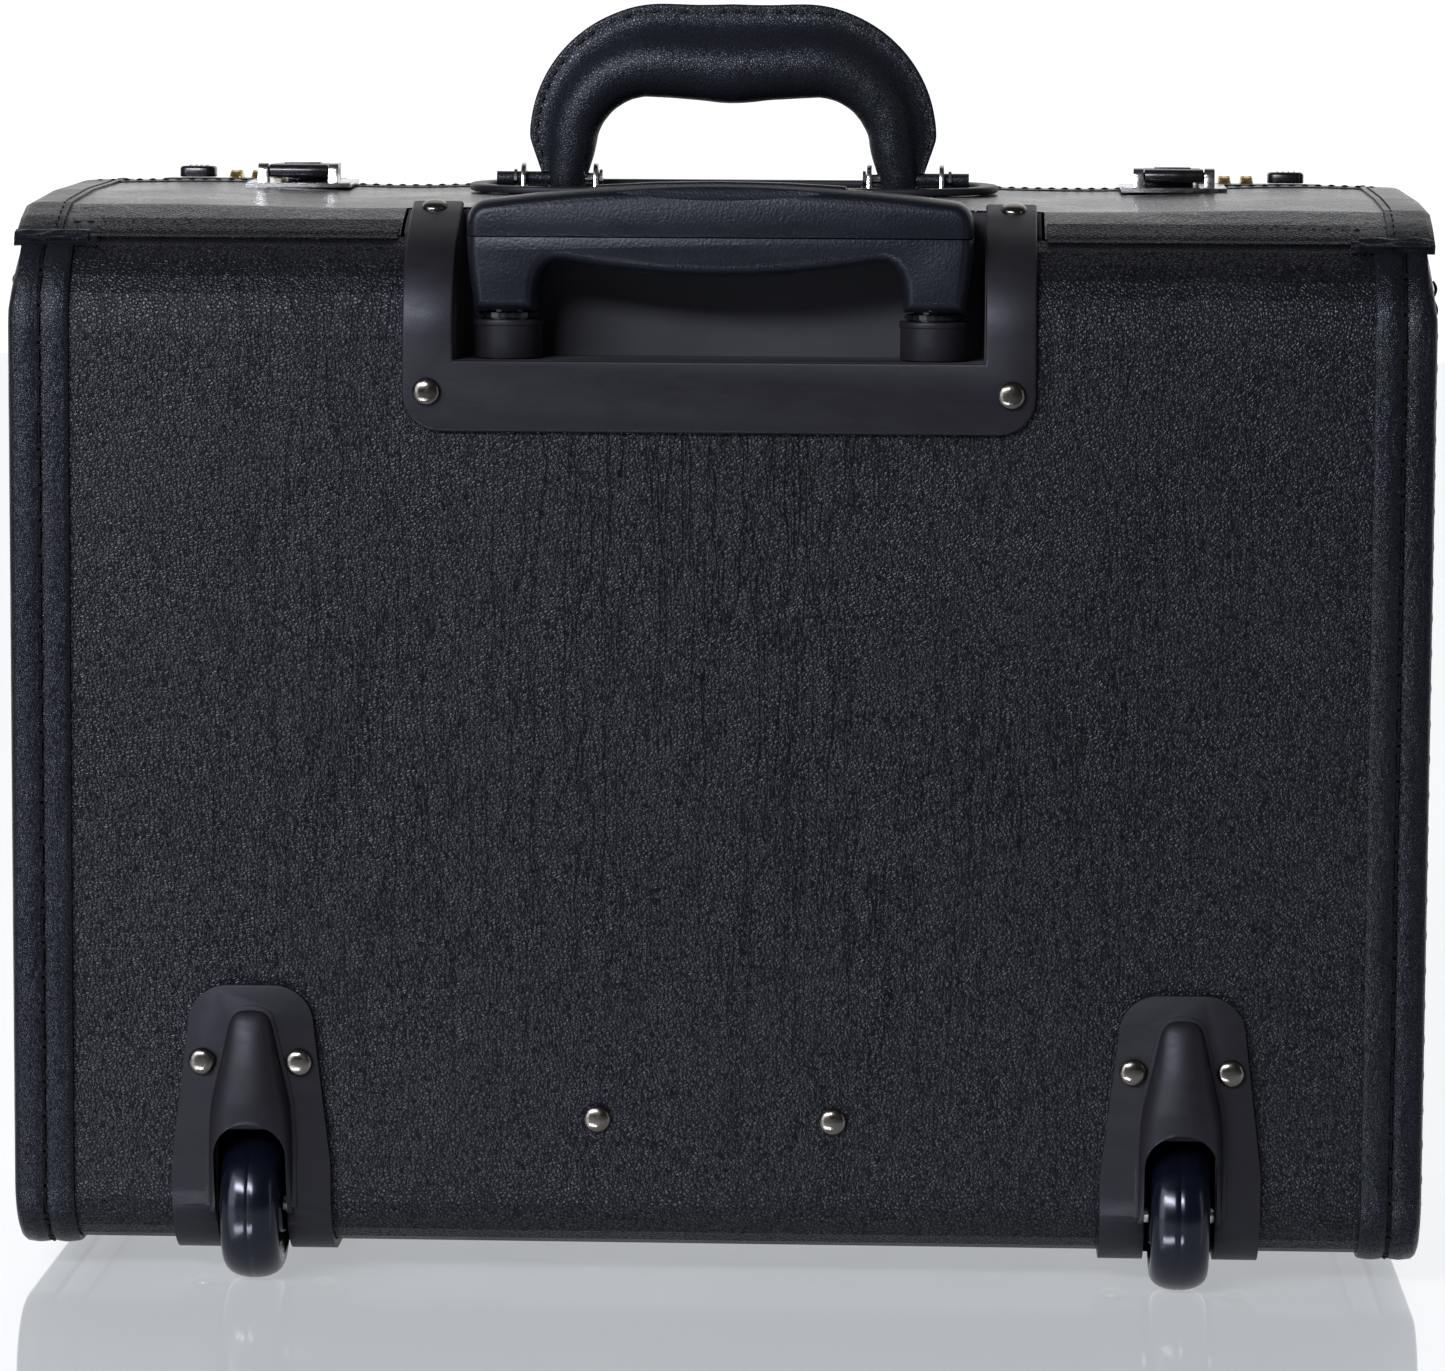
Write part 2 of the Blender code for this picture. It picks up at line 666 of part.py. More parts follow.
def make_housing(side, sign):
    """Moulded wheel housing: plate, hood and the well that holds the axle."""
    centre = sign * WHEEL_X
    housing = make_object("wheel_housing_" + side,
                          *prism_x(housing_strip(), centre - 0.04, centre + 0.04), "trim_plastic")
    trim = make_cutter("housing_outline_" + side, *prism_y(housing_outline(centre), -0.13, -0.05))
    combine(housing, trim, "INTERSECT")
    hood = make_cutter("hood_" + side, *cowl(centre))
    combine(housing, hood, "UNION")
    well = make_cutter("well_" + side, *prism_x(well_section(), centre - WELL_OUTER,
                                                centre + WELL_OUTER))
    combine(housing, well, "UNION")
    axis = (1.0, 0.0, 0.0)
    inner = centre - WELL_HALF
    hollow = make_cutter("wheel_space_" + side,
                         *rod_points(rod(WELL_R, 2.0 * WELL_HALF, 40),
                                     (inner, WHEEL_Y, WHEEL_R), axis))
    combine(housing, hollow, "DIFFERENCE")
    mouth_half = WELL_HALF + 0.0003
    arch = [(centre - mouth_half, -0.02), (centre + mouth_half, -0.02)]
    arch += arc((centre, 0.0550 - mouth_half), mouth_half, 0.0, 180.0, 12)
    mouth = make_cutter("wheel_mouth_" + side, *prism_y(arch, -0.16, -0.1040))
    combine(housing, mouth, "DIFFERENCE")
    bore = make_cutter("axle_bore_" + side,
                       *rod_points(rod(AXLE_R + GAP, 0.06, 16),
                                   (centre - 0.03, WHEEL_Y, WHEEL_R), axis))
    combine(housing, bore, "DIFFERENCE")
    return housing


def make_wheel(side, sign):
    """Solid wheel with a rounded tread and a raised hub."""
    bore = AXLE_R + GAP
    half = WHEEL_HALF
    profile = [(bore, -half), (0.0090, -half), (0.0100, -half + 0.0015),
               (0.0175, -half + 0.0015), (0.0195, -half + 0.0003), (0.0228, -0.0078),
               (0.0244, -0.0042), (WHEEL_R, 0.0)]
    profile += [(radius, -height) for radius, height in profile[:-1][::-1]]
    wheel = make_object("wheel_" + side, *turned(profile, 36, ring=True), "tyre")
    aim(wheel, (sign * WHEEL_X, WHEEL_Y, WHEEL_R), (1.0, 0.0, 0.0))
    return wheel


def make_axle(side, sign):
    """Steel pin through the cheeks of the well."""
    length = 2.0 * WELL_OUTER - 0.0004
    axle = make_object("axle_" + side, *rod(AXLE_R, length), "steel")
    aim(axle, (sign * WHEEL_X - length / 2.0, WHEEL_Y, WHEEL_R), (1.0, 0.0, 0.0))
    return axle


def make_front_foot(side, sign):
    """Round stud that holds the front of the case level with the wheels."""
    top = UNDER_Z - GAP
    profile = [(0.0, 0.0), (0.0110, 0.0), (0.0128, 0.0014), (0.0134, 0.0040),
               (0.0140, top), (0.0, top)]
    foot = make_object("front_foot_" + side, *turned(profile, 24), "foot_rubber")
    foot.location = (sign * FOOT_X, FOOT_Y, 0.0)
    return foot


def make_rivet(name, x, z, face_y):
    """Domed rivet head on a rear-facing surface."""
    radius = 0.0045
    profile = [(0.0, 0.0), (radius - 0.0004, 0.0), (radius, 0.0004), (radius, 0.0008),
               (0.86 * radius, 0.0016), (0.5 * radius, 0.0023), (0.0, 0.0026)]
    rivet = make_object(name, *turned(profile, 16), "rivet_metal")
    aim(rivet, (x, face_y - GAP, z), (0.0, -1.0, 0.0))
    return rivet


# ---- carry handle ---------------------------------------------------------------------
def handle_stations():
    """Centre line of half the handle: (x, z, tube radius, flange length), leg end to crown."""
    stations = [(-0.0562, 0.3546, 0.0045, 0.0004), (-0.0563, 0.3570, 0.0060, 0.0006),
                (-0.0558, 0.3620, 0.0068, 0.0030), (-0.0545, 0.3700, 0.0079, 0.0062)]
    bend = 0.0280
    steps = 6
    for index in range(1, steps + 1):
        share = index / steps
        angle = math.radians(180.0 - 90.0 * share)
        stations.append((-0.0265 + bend * math.cos(angle), 0.3700 + bend * math.sin(angle),
                         0.0079 + 0.0031 * share, 0.0062 + 0.0034 * share))
    stations.append((-0.0130, 0.3977, 0.0111, 0.0096))
    stations.append((0.0, 0.3974, 0.0113, 0.0099))
    return stations


def handle_section(radius, flange):
    """Round tube with a thin sewn flange on its outer side: (outward, across) points."""
    thin = 0.0015
    start = math.asin(thin / radius)
    steps = 12
    section = [(radius + flange, thin)]
    for index in range(steps + 1):
        angle = start + (2.0 * math.pi - 2.0 * start) * index / steps
        section.append((radius * math.cos(angle), radius * math.sin(angle)))
    section.append((radius + flange, -thin))
    return section


def make_carry_handle():
    """Padded handle with a flange sewn along its outer edge, turning on two pins."""
    half = handle_stations()
    stations = half + [(-x, z, radius, flange) for x, z, radius, flange in half[-2::-1]]
    rings = []
    for index, (x, z, radius, flange) in enumerate(stations):
        before = stations[max(index - 1, 0)]
        after = stations[min(index + 1, len(stations) - 1)]
        along = Vector((after[0] - before[0], after[1] - before[1])).normalized()
        out = Vector((-along.y, along.x))
        rings.append([(x + out.x * u, HANDLE_Y + v, z + out.y * u)
                      for u, v in handle_section(radius, flange)])
    handle = make_object("carry_handle", *skin(rings), "binding")
    set_origin(handle, (0.0, HANDLE_Y, PIN_Z))
    bore = make_cutter("handle_bore", *rod_points(rod(PIN_R + GAP, 0.16, 12),
                                                  (-0.08, HANDLE_Y, PIN_Z), (1, 0, 0)))
    combine(handle, bore, "DIFFERENCE")
    return handle


def make_handle_bracket(side, sign):
    """Plated bracket: a base and two round-topped ears."""
    base = make_object("handle_bracket_" + side,
                       *block(sign * 0.0440, sign * 0.0735, HANDLE_Y - 0.0080,
                              HANDLE_Y + 0.0080, *BRACKET_Z), "steel", smooth=False)
    ear = [(HANDLE_Y - 0.0065, BRACKET_Z[0] + 0.0005), (HANDLE_Y + 0.0065, BRACKET_Z[0] + 0.0005)]
    ear += arc((HANDLE_Y, PIN_Z), 0.0052, 0.0, 180.0, 8)
    for name, x in (("inner", 0.0455), ("outer", 0.0700)):
        lug = make_cutter("ear_%s_%s" % (name, side), *prism_x(ear, sign * x, sign * (x + 0.0016)))
        combine(base, lug, "UNION")
    bore = make_cutter("bracket_bore_" + side,
                       *rod_points(rod(PIN_R + GAP, 0.05, 12),
                                   (sign * 0.0585 - 0.025, HANDLE_Y, PIN_Z), (1, 0, 0)))
    combine(base, bore, "DIFFERENCE")
    return base


def make_handle_pin(side, sign):
    """Pin through both ears, headed at each end."""
    length = 0.0300
    head = 0.0010
    profile = [(0.0, 0.0), (0.0032, 0.0), (0.0032, head), (PIN_R, head),
               (PIN_R, length - head), (0.0032, length - head), (0.0032, length), (0.0, length)]
    pin = make_object("handle_pin_" + side, *turned(profile, 14), "steel")
    aim(pin, (sign * 0.0441, HANDLE_Y, PIN_Z), (sign, 0.0, 0.0))
    return pin


# ---- lids -----------------------------------------------------------------------------
def lid_shape(line, ears):
    """Bent board with an ear hanging at each end; ears gives their depth at each point."""
    outer = LID_HALF
    inner = LID_HALF - EAR_THICK
    rings = []
    under = offset_line(line, LID_THICK)
    for index, top in enumerate(line):
        depth = ears[index]
        share = depth / LID_THICK
        hang = (top[0] + (under[index][0] - top[0]) * share,
                top[1] + (under[index][1] - top[1]) * share)
        ring = [(-outer, *top), (outer, *top), (outer, *hang), (inner, *hang),
                (inner, *under[index]), (-inner, *under[index]), (-inner, *hang),
                (-outer, *hang)]
        rings.append(ring)
    return skin(rings)


def make_rear_lid():
    """Large lid, hinged along the rear hem, with a notch for the trolley and an oval opening."""
    lid = make_object("rear_lid", *lid_shape(REAR_LINE, REAR_EARS), "covering")
    set_origin(lid, (0.0, REAR_HINGE_Y, HINGE_Z))
    notch_outline = rounded_box_outline(-NOTCH_HALF, NOTCH_HALF, -0.13, NOTCH_Y, 0.0012)
    notch = make_cutter("lid_notch", *prism_z(notch_outline, 0.30, 0.40))
    combine(lid, notch, "DIFFERENCE")
    half, radius = RING_HOLE
    oval = rounded_box_outline(-half, half, RING_Y - radius, RING_Y + radius,
                               radius - 0.0001, 8)
    hole = make_cutter("lid_oval", *prism_z(oval, 0.30, 0.40))
    combine(lid, hole, "DIFFERENCE")
    return lid


def make_lid_ring():
    """Oval trim round the opening for the handle, following the lid's slope."""
    half, radius = RING_HOLE
    strip_line = [(-0.0200, rear_lid_height(-0.0200)), (0.0460, rear_lid_height(0.0460))]
    strip = (offset_line(strip_line, -GAP)
             + offset_line(strip_line, -GAP - RING_RISE)[::-1])
    outer = rounded_box_outline(-half - RING_WIDTH, half + RING_WIDTH,
                                RING_Y - radius - RING_WIDTH, RING_Y + radius + RING_WIDTH,
                                radius + RING_WIDTH - 0.0001, 8)
    inner = rounded_box_outline(-half, half, RING_Y - radius, RING_Y + radius,
                                radius - 0.0001, 8)
    ring = make_object("lid_ring", *prism_z(outer, 0.34, 0.37), "trim_plastic")
    set_origin(ring, (0.0, REAR_HINGE_Y, HINGE_Z))
    slab = make_cutter("ring_slab", *prism_x(strip, -0.12, 0.12))
    combine(ring, slab, "INTERSECT")
    hole = make_cutter("ring_hole", *prism_z(inner, 0.30, 0.40))
    combine(ring, hole, "DIFFERENCE")
    return ring


def make_front_lid():
    """Small lid, hinged along the front hem; it carries the locks."""
    lid = make_object("front_lid", *lid_shape(FRONT_LINE, FRONT_EARS), "covering")
    set_origin(lid, (0.0, FRONT_HINGE_Y, HINGE_Z))
    for side, sign in SIDES.items():
        window = make_cutter("lock_window_" + side,
                             *block(sign * 0.1562, sign * 0.1823, 0.0577, 0.0743, 0.33, 0.37))
        combine(lid, window, "DIFFERENCE")
    return lid


# ---- locks ----------------------------------------------------------------------------
def make_hasp_plate(side, sign):
    """Base plate on the rear lid with two lugs for the hasp."""
    line = [(0.0185, rear_lid_height(0.0185)), (0.0485, rear_lid_height(0.0485))]
    slab = offset_line(line, -GAP) + offset_line(line, -0.0018)[::-1]
    centre = sign * HASP_X
    plate = make_object("hasp_plate_" + side,
                        *prism_x(slab, centre - PLATE_HALF, centre + PLATE_HALF), "lock_metal")
    y, z = HASP_AXIS
    lug = [(y - 0.0030, z - 0.0050), (y + 0.0030, z - 0.0050)] + arc((y, z), 0.0027, 0.0, 180.0, 8)
    for name, x in (("inner", -0.0138), ("outer", 0.0104)):
        ear = make_cutter("lug_%s_%s" % (name, side),
                          *prism_x(lug, centre + x, centre + x + 0.0034))
        combine(plate, ear, "UNION")
    bore = make_cutter("lug_bore_" + side, *rod_points(rod(0.0016, 0.04, 12),
                                                       (centre - 0.02, y, z), (1, 0, 0)))
    combine(plate, bore, "DIFFERENCE")
    return plate


def make_hasp(side, sign):
    """Hinged hasp: barrel, flat arm over the seam and a turned-down tip."""
    centre = sign * HASP_X
    y, z = HASP_AXIS
    profile = [(y, z + HASP_R)]
    profile += arc((y, z), HASP_R, 120.0, 300.0, 8)
    profile += [(y + 0.0024, z + 0.0002), (HASP_TIP_Y - 0.0024, z + 0.0002),
                (HASP_TIP_Y - 0.0020, z - 0.0020), (HASP_TIP_Y, z - 0.0020),
                (HASP_TIP_Y, z + HASP_R - 0.0008), (HASP_TIP_Y - 0.0010, z + HASP_R)]
    hasp = make_object("hasp_" + side,
                       *prism_x(profile, centre - HASP_HALF, centre + HASP_HALF), "lock_metal")
    set_origin(hasp, (centre, y, z))
    pin = make_cutter("hasp_pin_" + side, *rod_points(rod(0.0013, 0.0268, 12),
                                                      (centre - 0.0134, y, z), (1, 0, 0)))
    combine(hasp, pin, "UNION")
    return hasp


def make_lock_body(side, sign):
    """Lock case let into the front lid: flange, catch block and three dial slots."""
    flange = soft_block(sign * 0.1390, sign * 0.2020, *LOCK_Y, LOCK_BOTTOM, LOCK_TOP,
                        0.0025, 0.0006)
    lock = make_object("lock_body_" + side, *flange, "lock_metal")
    case = make_cutter("case_" + side, *block(sign * 0.1565, sign * 0.1820, 0.0580, 0.0740,
                                              LOCK_CASE_Z, LOCK_TOP - 0.0005))
    combine(lock, case, "UNION")
    catch = make_cutter("catch_" + side, *block(sign * 0.1405, sign * 0.1580, LOCK_Y[0] + 0.0004,
                                                0.0680, LOCK_TOP - 0.0010, 0.3632))
    combine(lock, catch, "UNION")
    y, z = DIAL_AXIS
    reach = DIAL_R + 0.0005
    for number, x in enumerate(DIAL_X):
        slot = make_cutter("slot_%d_%s" % (number, side),
                           *block(sign * (x - DIAL_HALF - GAP), sign * (x + DIAL_HALF + GAP),
                                  y - reach, y + reach, z - reach, 0.38))
        combine(lock, slot, "DIFFERENCE")
    shaft = make_cutter("dial_shaft_" + side, *rod_points(rod(0.0012, 0.0235, 10),
                                                          (sign * 0.1692 - 0.01175, y, z),
                                                          (1, 0, 0)))
    combine(lock, shaft, "UNION")
    return lock


def make_dial(side, sign, number):
    """Knurled number wheel of a combination lock."""
    edge = 0.0005
    bore = 0.0016
    profile = [(bore, -DIAL_HALF), (DIAL_R - edge, -DIAL_HALF), (DIAL_R, -DIAL_HALF + edge),
               (DIAL_R, DIAL_HALF - edge), (DIAL_R - edge, DIAL_HALF), (bore, DIAL_HALF)]
    dial = make_object("dial_%s_%d" % (side, number + 1), *turned(profile, 20, ring=True), "brass")
    aim(dial, (sign * DIAL_X[number], *DIAL_AXIS), (1.0, 0.0, 0.0))
    return dial


def make_lock_button(side, sign):
    """Thumb slide that frees the hasp."""
    centre = sign * THUMB_X
    y0, y1 = LOCK_Y[0] + 0.0050, LOCK_Y[1] - 0.0050
    base = LOCK_TOP + GAP
    shape = soft_block(centre - THUMB_HALF, centre + THUMB_HALF, y0, y1, base,
                       base + THUMB_HEIGHT, 0.0030, 0.0009)
    button = make_object("lock_button_" + side, *shape, "lock_metal")
    set_origin(button, (centre, (y0 + y1) / 2.0, base))
    return button


# ---- assembly -------------------------------------------------------------------------
def build_fixed():
    """Everything that stays with the shell."""
    make_wrap()
    make_inside()
    make_recess_tray()
    make_bezel()
    make_foot_bracket()
    for side, sign in SIDES.items():
        make_side_panel(side, sign)
        make_binding(side, sign)
        make_housing(side, sign)
        make_axle(side, sign)
        make_front_foot(side, sign)
        make_handle_bracket(side, sign)
        make_handle_pin(side, sign)
        tube("outer_tube_" + side, OUTER_TUBE_R, TUBE_WALL, TUBE_FOOT + GAP, 0.3000, sign,
             "tube_metal")
        tube("tube_collar_" + side, COLLAR_R, COLLAR_R - MIDDLE_TUBE_R - GAP, RECESS_FLOOR + GAP,
             0.3158, sign, "trim_plastic", lip=0.0004)
        plate_face = BACK_Y - GAP - BEZEL_THICK
        make_rivet("bezel_rivet_" + side, sign * 0.0940, 0.2930, plate_face)
        make_rivet("bracket_rivet_" + side, sign * 0.0384, 0.0560, BACK_Y)
        housing_face = BACK_Y - GAP - HOUSING_THICK
        for place, shift in (("inner", -RIVET_SHIFT), ("outer", RIVET_SHIFT)):
            make_rivet("housing_rivet_%s_%s" % (side, place), sign * (WHEEL_X + shift), 0.0740,
                       housing_face)


def build_trolley():
    """Two sliding stages and the press bar, each under its own empty."""
    middle = make_empty("middle_stage", (0.0, TUBE_Y, RECESS_FLOOR))
    grip = make_empty("grip_stage", (0.0, TUBE_Y, GRIP_LEG_BOTTOM), middle)
    for side, sign in SIDES.items():
        attach(tube("middle_tube_" + side, MIDDLE_TUBE_R, TUBE_WALL, 0.0550, 0.3182, sign,
                    "tube_metal", lip=0.0012), middle)
        attach(tube("inner_tube_" + side, INNER_TUBE_R, TUBE_WALL, 0.0750, 0.3315, sign,
                    "tube_metal"), grip)
    for item in make_grip():
        attach(item, grip)
    attach(make_release_button(), grip)


def build_lids():
    """Rear and front lids with what rides on them."""
    rear = make_empty("rear_lid_axis", (0.0, REAR_HINGE_Y, HINGE_Z))
    front = make_empty("front_lid_axis", (0.0, FRONT_HINGE_Y, HINGE_Z))
    attach(make_rear_lid(), rear)
    attach(make_lid_ring(), rear)
    attach(make_front_lid(), front)
    for side, sign in SIDES.items():
        attach(make_hasp_plate(side, sign), rear)
        attach(make_hasp(side, sign), rear)
        attach(make_lock_body(side, sign), front)
        attach(make_lock_button(side, sign), front)
        for number in range(len(DIAL_X)):
            attach(make_dial(side, sign, number), front)


def main():
    """Build the whole case."""
    clear_scene()
    build_fixed()
    build_trolley()
    build_lids()
    make_carry_handle()
    for side, sign in SIDES.items():
        make_wheel(side, sign)
    bpy.context.view_layer.update()


main()
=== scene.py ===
"""Looks of the pilot rolling flight case: camera, light, materials and finished surfaces.

Metres, +Z up.  The rear of the case (trolley and wheels) faces -Y.
"""
import json
import math

import bmesh
import bpy
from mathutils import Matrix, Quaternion, Vector, noise


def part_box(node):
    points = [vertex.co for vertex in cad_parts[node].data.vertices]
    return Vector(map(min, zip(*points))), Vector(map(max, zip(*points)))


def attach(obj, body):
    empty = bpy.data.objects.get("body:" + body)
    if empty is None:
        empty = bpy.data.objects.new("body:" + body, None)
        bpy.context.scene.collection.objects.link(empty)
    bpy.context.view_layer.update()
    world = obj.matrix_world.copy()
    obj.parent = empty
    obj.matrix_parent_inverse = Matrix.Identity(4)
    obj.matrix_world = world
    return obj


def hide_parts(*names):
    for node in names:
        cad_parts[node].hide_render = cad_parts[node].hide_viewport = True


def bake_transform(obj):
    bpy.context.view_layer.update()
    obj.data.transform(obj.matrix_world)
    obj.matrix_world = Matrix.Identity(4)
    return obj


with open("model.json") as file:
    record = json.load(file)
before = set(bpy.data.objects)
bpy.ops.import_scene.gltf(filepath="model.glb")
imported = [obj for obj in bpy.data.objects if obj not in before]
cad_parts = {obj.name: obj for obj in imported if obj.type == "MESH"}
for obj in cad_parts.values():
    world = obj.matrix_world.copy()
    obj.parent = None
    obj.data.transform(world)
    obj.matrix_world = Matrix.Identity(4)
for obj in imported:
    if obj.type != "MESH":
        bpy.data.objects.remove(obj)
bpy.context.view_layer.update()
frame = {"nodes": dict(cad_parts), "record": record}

SIDES = {"left": -1.0, "right": 1.0}

# ---- sizes of the case ----
BACK_Y = -0.1050
FRONT_Y = 0.1177
UNDER_Z = 0.0108
CORNER_R = 0.0220
SHOULDER_R = 0.0340
SHOULDER_Z = 0.3110
PANEL_OUTER = 0.2265
BINDING_INNER = 0.2100
BINDING_OUTER = 0.2300
BINDING_RISE = 0.0023
BINDING_DEPTH = 0.0160
BINDING_END = 57.0
GAP = 0.0003
SEAM_Y = 0.0500
REAR_LINE = [(-0.0850, 0.3424), (-0.0760, 0.3470), (-0.0640, 0.3510),
             (-0.0200, 0.3540), (SEAM_Y, 0.3562)]
FRONT_LINE = [(SEAM_Y + 3 * GAP, 0.3562), (0.0775, 0.3558), (0.0865, 0.3512),
              (0.0935, 0.3470), (0.0977, 0.3424)]
REAR_EARS = [0.0042, 0.0060, 0.0100, 0.0110, 0.0060]
FRONT_EARS = [0.0060, 0.0100, 0.0080, 0.0060, 0.0042]
LID_THICK = 0.0033
EAR_THICK = 0.0026
LID_CUT = (0.30, 0.40)         # heights that a cut through the rear lid spans
WINDOW_CUT = (0.33, 0.38)
WINDOW_X = (0.1562, 0.1823)    # lock windows in the front lid
WINDOW_Y = (0.0577, 0.0743)
EDGE_HALF = 0.2290             # bound edges along the seam between the lids
EDGE_STITCH_HALF = 0.2240
END_STRIP = 0.2150             # bound ends of the lids start here
END_STITCH = 0.2172            # and are sewn along this line
HEM_STRIP_Y = -0.0775          # the rear lid's hem is bound up to here
FOLD_X = 0.2268                # where the covering starts to turn down into an ear
FOLD_WIDTH = 0.0036
FOLD_DROP = 0.0022
NOTCH_HALF = 0.1045
NOTCH_Y = -0.0620
RING_Y = 0.0120
RING_HOLE = (0.0840, 0.0240)
HANDLE_Y = 0.0020
PIN_Z = 0.3595
DIAL_TEETH = 20
WHEEL_X = 0.1515
WHEEL_Y = -0.0950
WHEEL_R = 0.0250
HOUSING_TOP = 0.0990
HOUSING_THICK = 0.0027
HOUSING_HALF = 0.0260
HOUSING_R = 0.0130             # round corners at the top of a housing's plate
WELL_HALF = 0.0145
WELL_FRONT = -0.0658
WELL_TOP = 0.0580
WHEEL_SPACE_R = 0.0272
AXLE_BORE_R = 0.0033
MOUTH_HALF = 0.0118            # opening that the wheel shows through
MOUTH_TOP = 0.0550
HOUSING_FACE = BACK_Y - GAP - HOUSING_THICK

# ---- stitching ----
SEAM_X = 0.2195           # stitch line on the bindings
LONG_STITCH = 0.0115      # pitch of the binding stitches
LONG_THREAD = 0.0088
SHORT_STITCH = 0.0046     # pitch of the handle and lid stitches
STITCH_SHARE = 0.68       # part of a short pitch that the thread shows
STITCH_LIFT = 0.0007      # height of the lid stitches over the covering
THREAD_R = 0.00034
THREAD_STEPS = 6
THREAD_SIDES = 6

BODY_OF = {}
for body_name, members in frame["record"]["behaviour"]["bodies"].items():
    for member in members:
        BODY_OF[member] = body_name


# ---- shader helpers ----
COOL = (0.76, 0.79, 0.93, 1.0)       # tint of the shine on dark leather and plastic


def node(tree, kind, inputs=None, **settings):
    """Add a shader node; an input may be a value or another node's output."""
    made = tree.nodes.new(kind)
    for key, value in settings.items():
        setattr(made, key, value)
    for key, value in (inputs or {}).items():
        if isinstance(value, bpy.types.NodeSocket):
            tree.links.new(value, made.inputs[key])
        else:
            made.inputs[key].default_value = value
    return made


def principled(name, **values):
    """New material with a Principled shader; returns material, tree and shader."""
    material = bpy.data.materials.new(name)
    material.use_nodes = True
    tree = material.node_tree
    shader = tree.nodes["Principled BSDF"]
    for key, value in values.items():
        shader.inputs[key.replace("_", " ")].default_value = value
    return material, tree, shader


def object_space(tree, scale=(1.0, 1.0, 1.0)):
    """Object coordinates in metres, optionally stretched."""
    place = node(tree, "ShaderNodeTexCoord").outputs["Object"]
    return node(tree, "ShaderNodeMapping", {"Vector": place, "Scale": scale}).outputs["Vector"]


def noise_value(tree, vector, scale, detail=3.0, roughness=0.5, distortion=0.0):
    """Noise output from 0 to 1."""
    made = node(tree, "ShaderNodeTexNoise", {"Vector": vector, "Scale": scale, "Detail": detail,
                                             "Roughness": roughness, "Distortion": distortion})
    return made.outputs["Fac"]


def remap(tree, value, low, high, to_low=0.0, to_high=1.0, smooth=False):
    """Map a value from one range to another, clamped."""
    made = node(tree, "ShaderNodeMapRange",
                {"Value": value, "From Min": low, "From Max": high,
                 "To Min": to_low, "To Max": to_high},
                interpolation_type="SMOOTHSTEP" if smooth else "LINEAR")
    return made.outputs["Result"]


def maths(tree, operation, first, second=0.0):
    """One arithmetic step."""
    made = tree.nodes.new("ShaderNodeMath")
    made.operation = operation
    for index, value in enumerate((first, second)):
        if isinstance(value, bpy.types.NodeSocket):
            tree.links.new(value, made.inputs[index])
        else:
            made.inputs[index].default_value = value
    return made.outputs["Value"]


def times(tree, first, second):
    """Product of two values."""
    return maths(tree, "MULTIPLY", first, second)


def join(tree, shader, **links):
    """Link outputs to a shader's inputs."""
    for key, output in links.items():
        tree.links.new(output, shader.inputs[key.replace("_", " ")])


def mix_colour(tree, factor, first, second):
    """Blend two colours by factor."""
    made = node(tree, "ShaderNodeMix", data_type="RGBA")
    for index, value in ((0, factor), (6, first), (7, second)):
        if isinstance(value, bpy.types.NodeSocket):
            tree.links.new(value, made.inputs[index])
        else:
            made.inputs[index].default_value = value if index == 0 else (*value, 1.0)
    return made.outputs[2]


def bump(tree, height, distance, strength=1.0, before=None):
    """Bump normal, chained on to an earlier one."""
    inputs = {"Height": height, "Distance": distance, "Strength": strength}
    if before:
        inputs["Normal"] = before
    return node(tree, "ShaderNodeBump", inputs).outputs["Normal"]


def dimmed(colour, share):
    """A darker shade of a colour."""
    return tuple(share * value for value in colour)


def pebbles(tree, place, grain):
    """Rounded cells of a leather grain, with uneven edges; 0 in the valleys."""
    wobble = node(tree, "ShaderNodeTexNoise", {"Vector": place, "Scale": grain * 0.35,
                                               "Detail": 2.0})
    shift = node(tree, "ShaderNodeVectorMath", {0: wobble.outputs["Color"],
                                                1: (0.0011, 0.0011, 0.0011)},
                 operation="MULTIPLY").outputs["Vector"]
    moved = node(tree, "ShaderNodeVectorMath", {0: place, 1: shift},
                 operation="ADD").outputs["Vector"]
    cells = node(tree, "ShaderNodeTexVoronoi", {"Vector": moved, "Scale": grain},
                 feature="DISTANCE_TO_EDGE").outputs["Distance"]
    return remap(tree, cells, 0.0, 0.32, smooth=True)


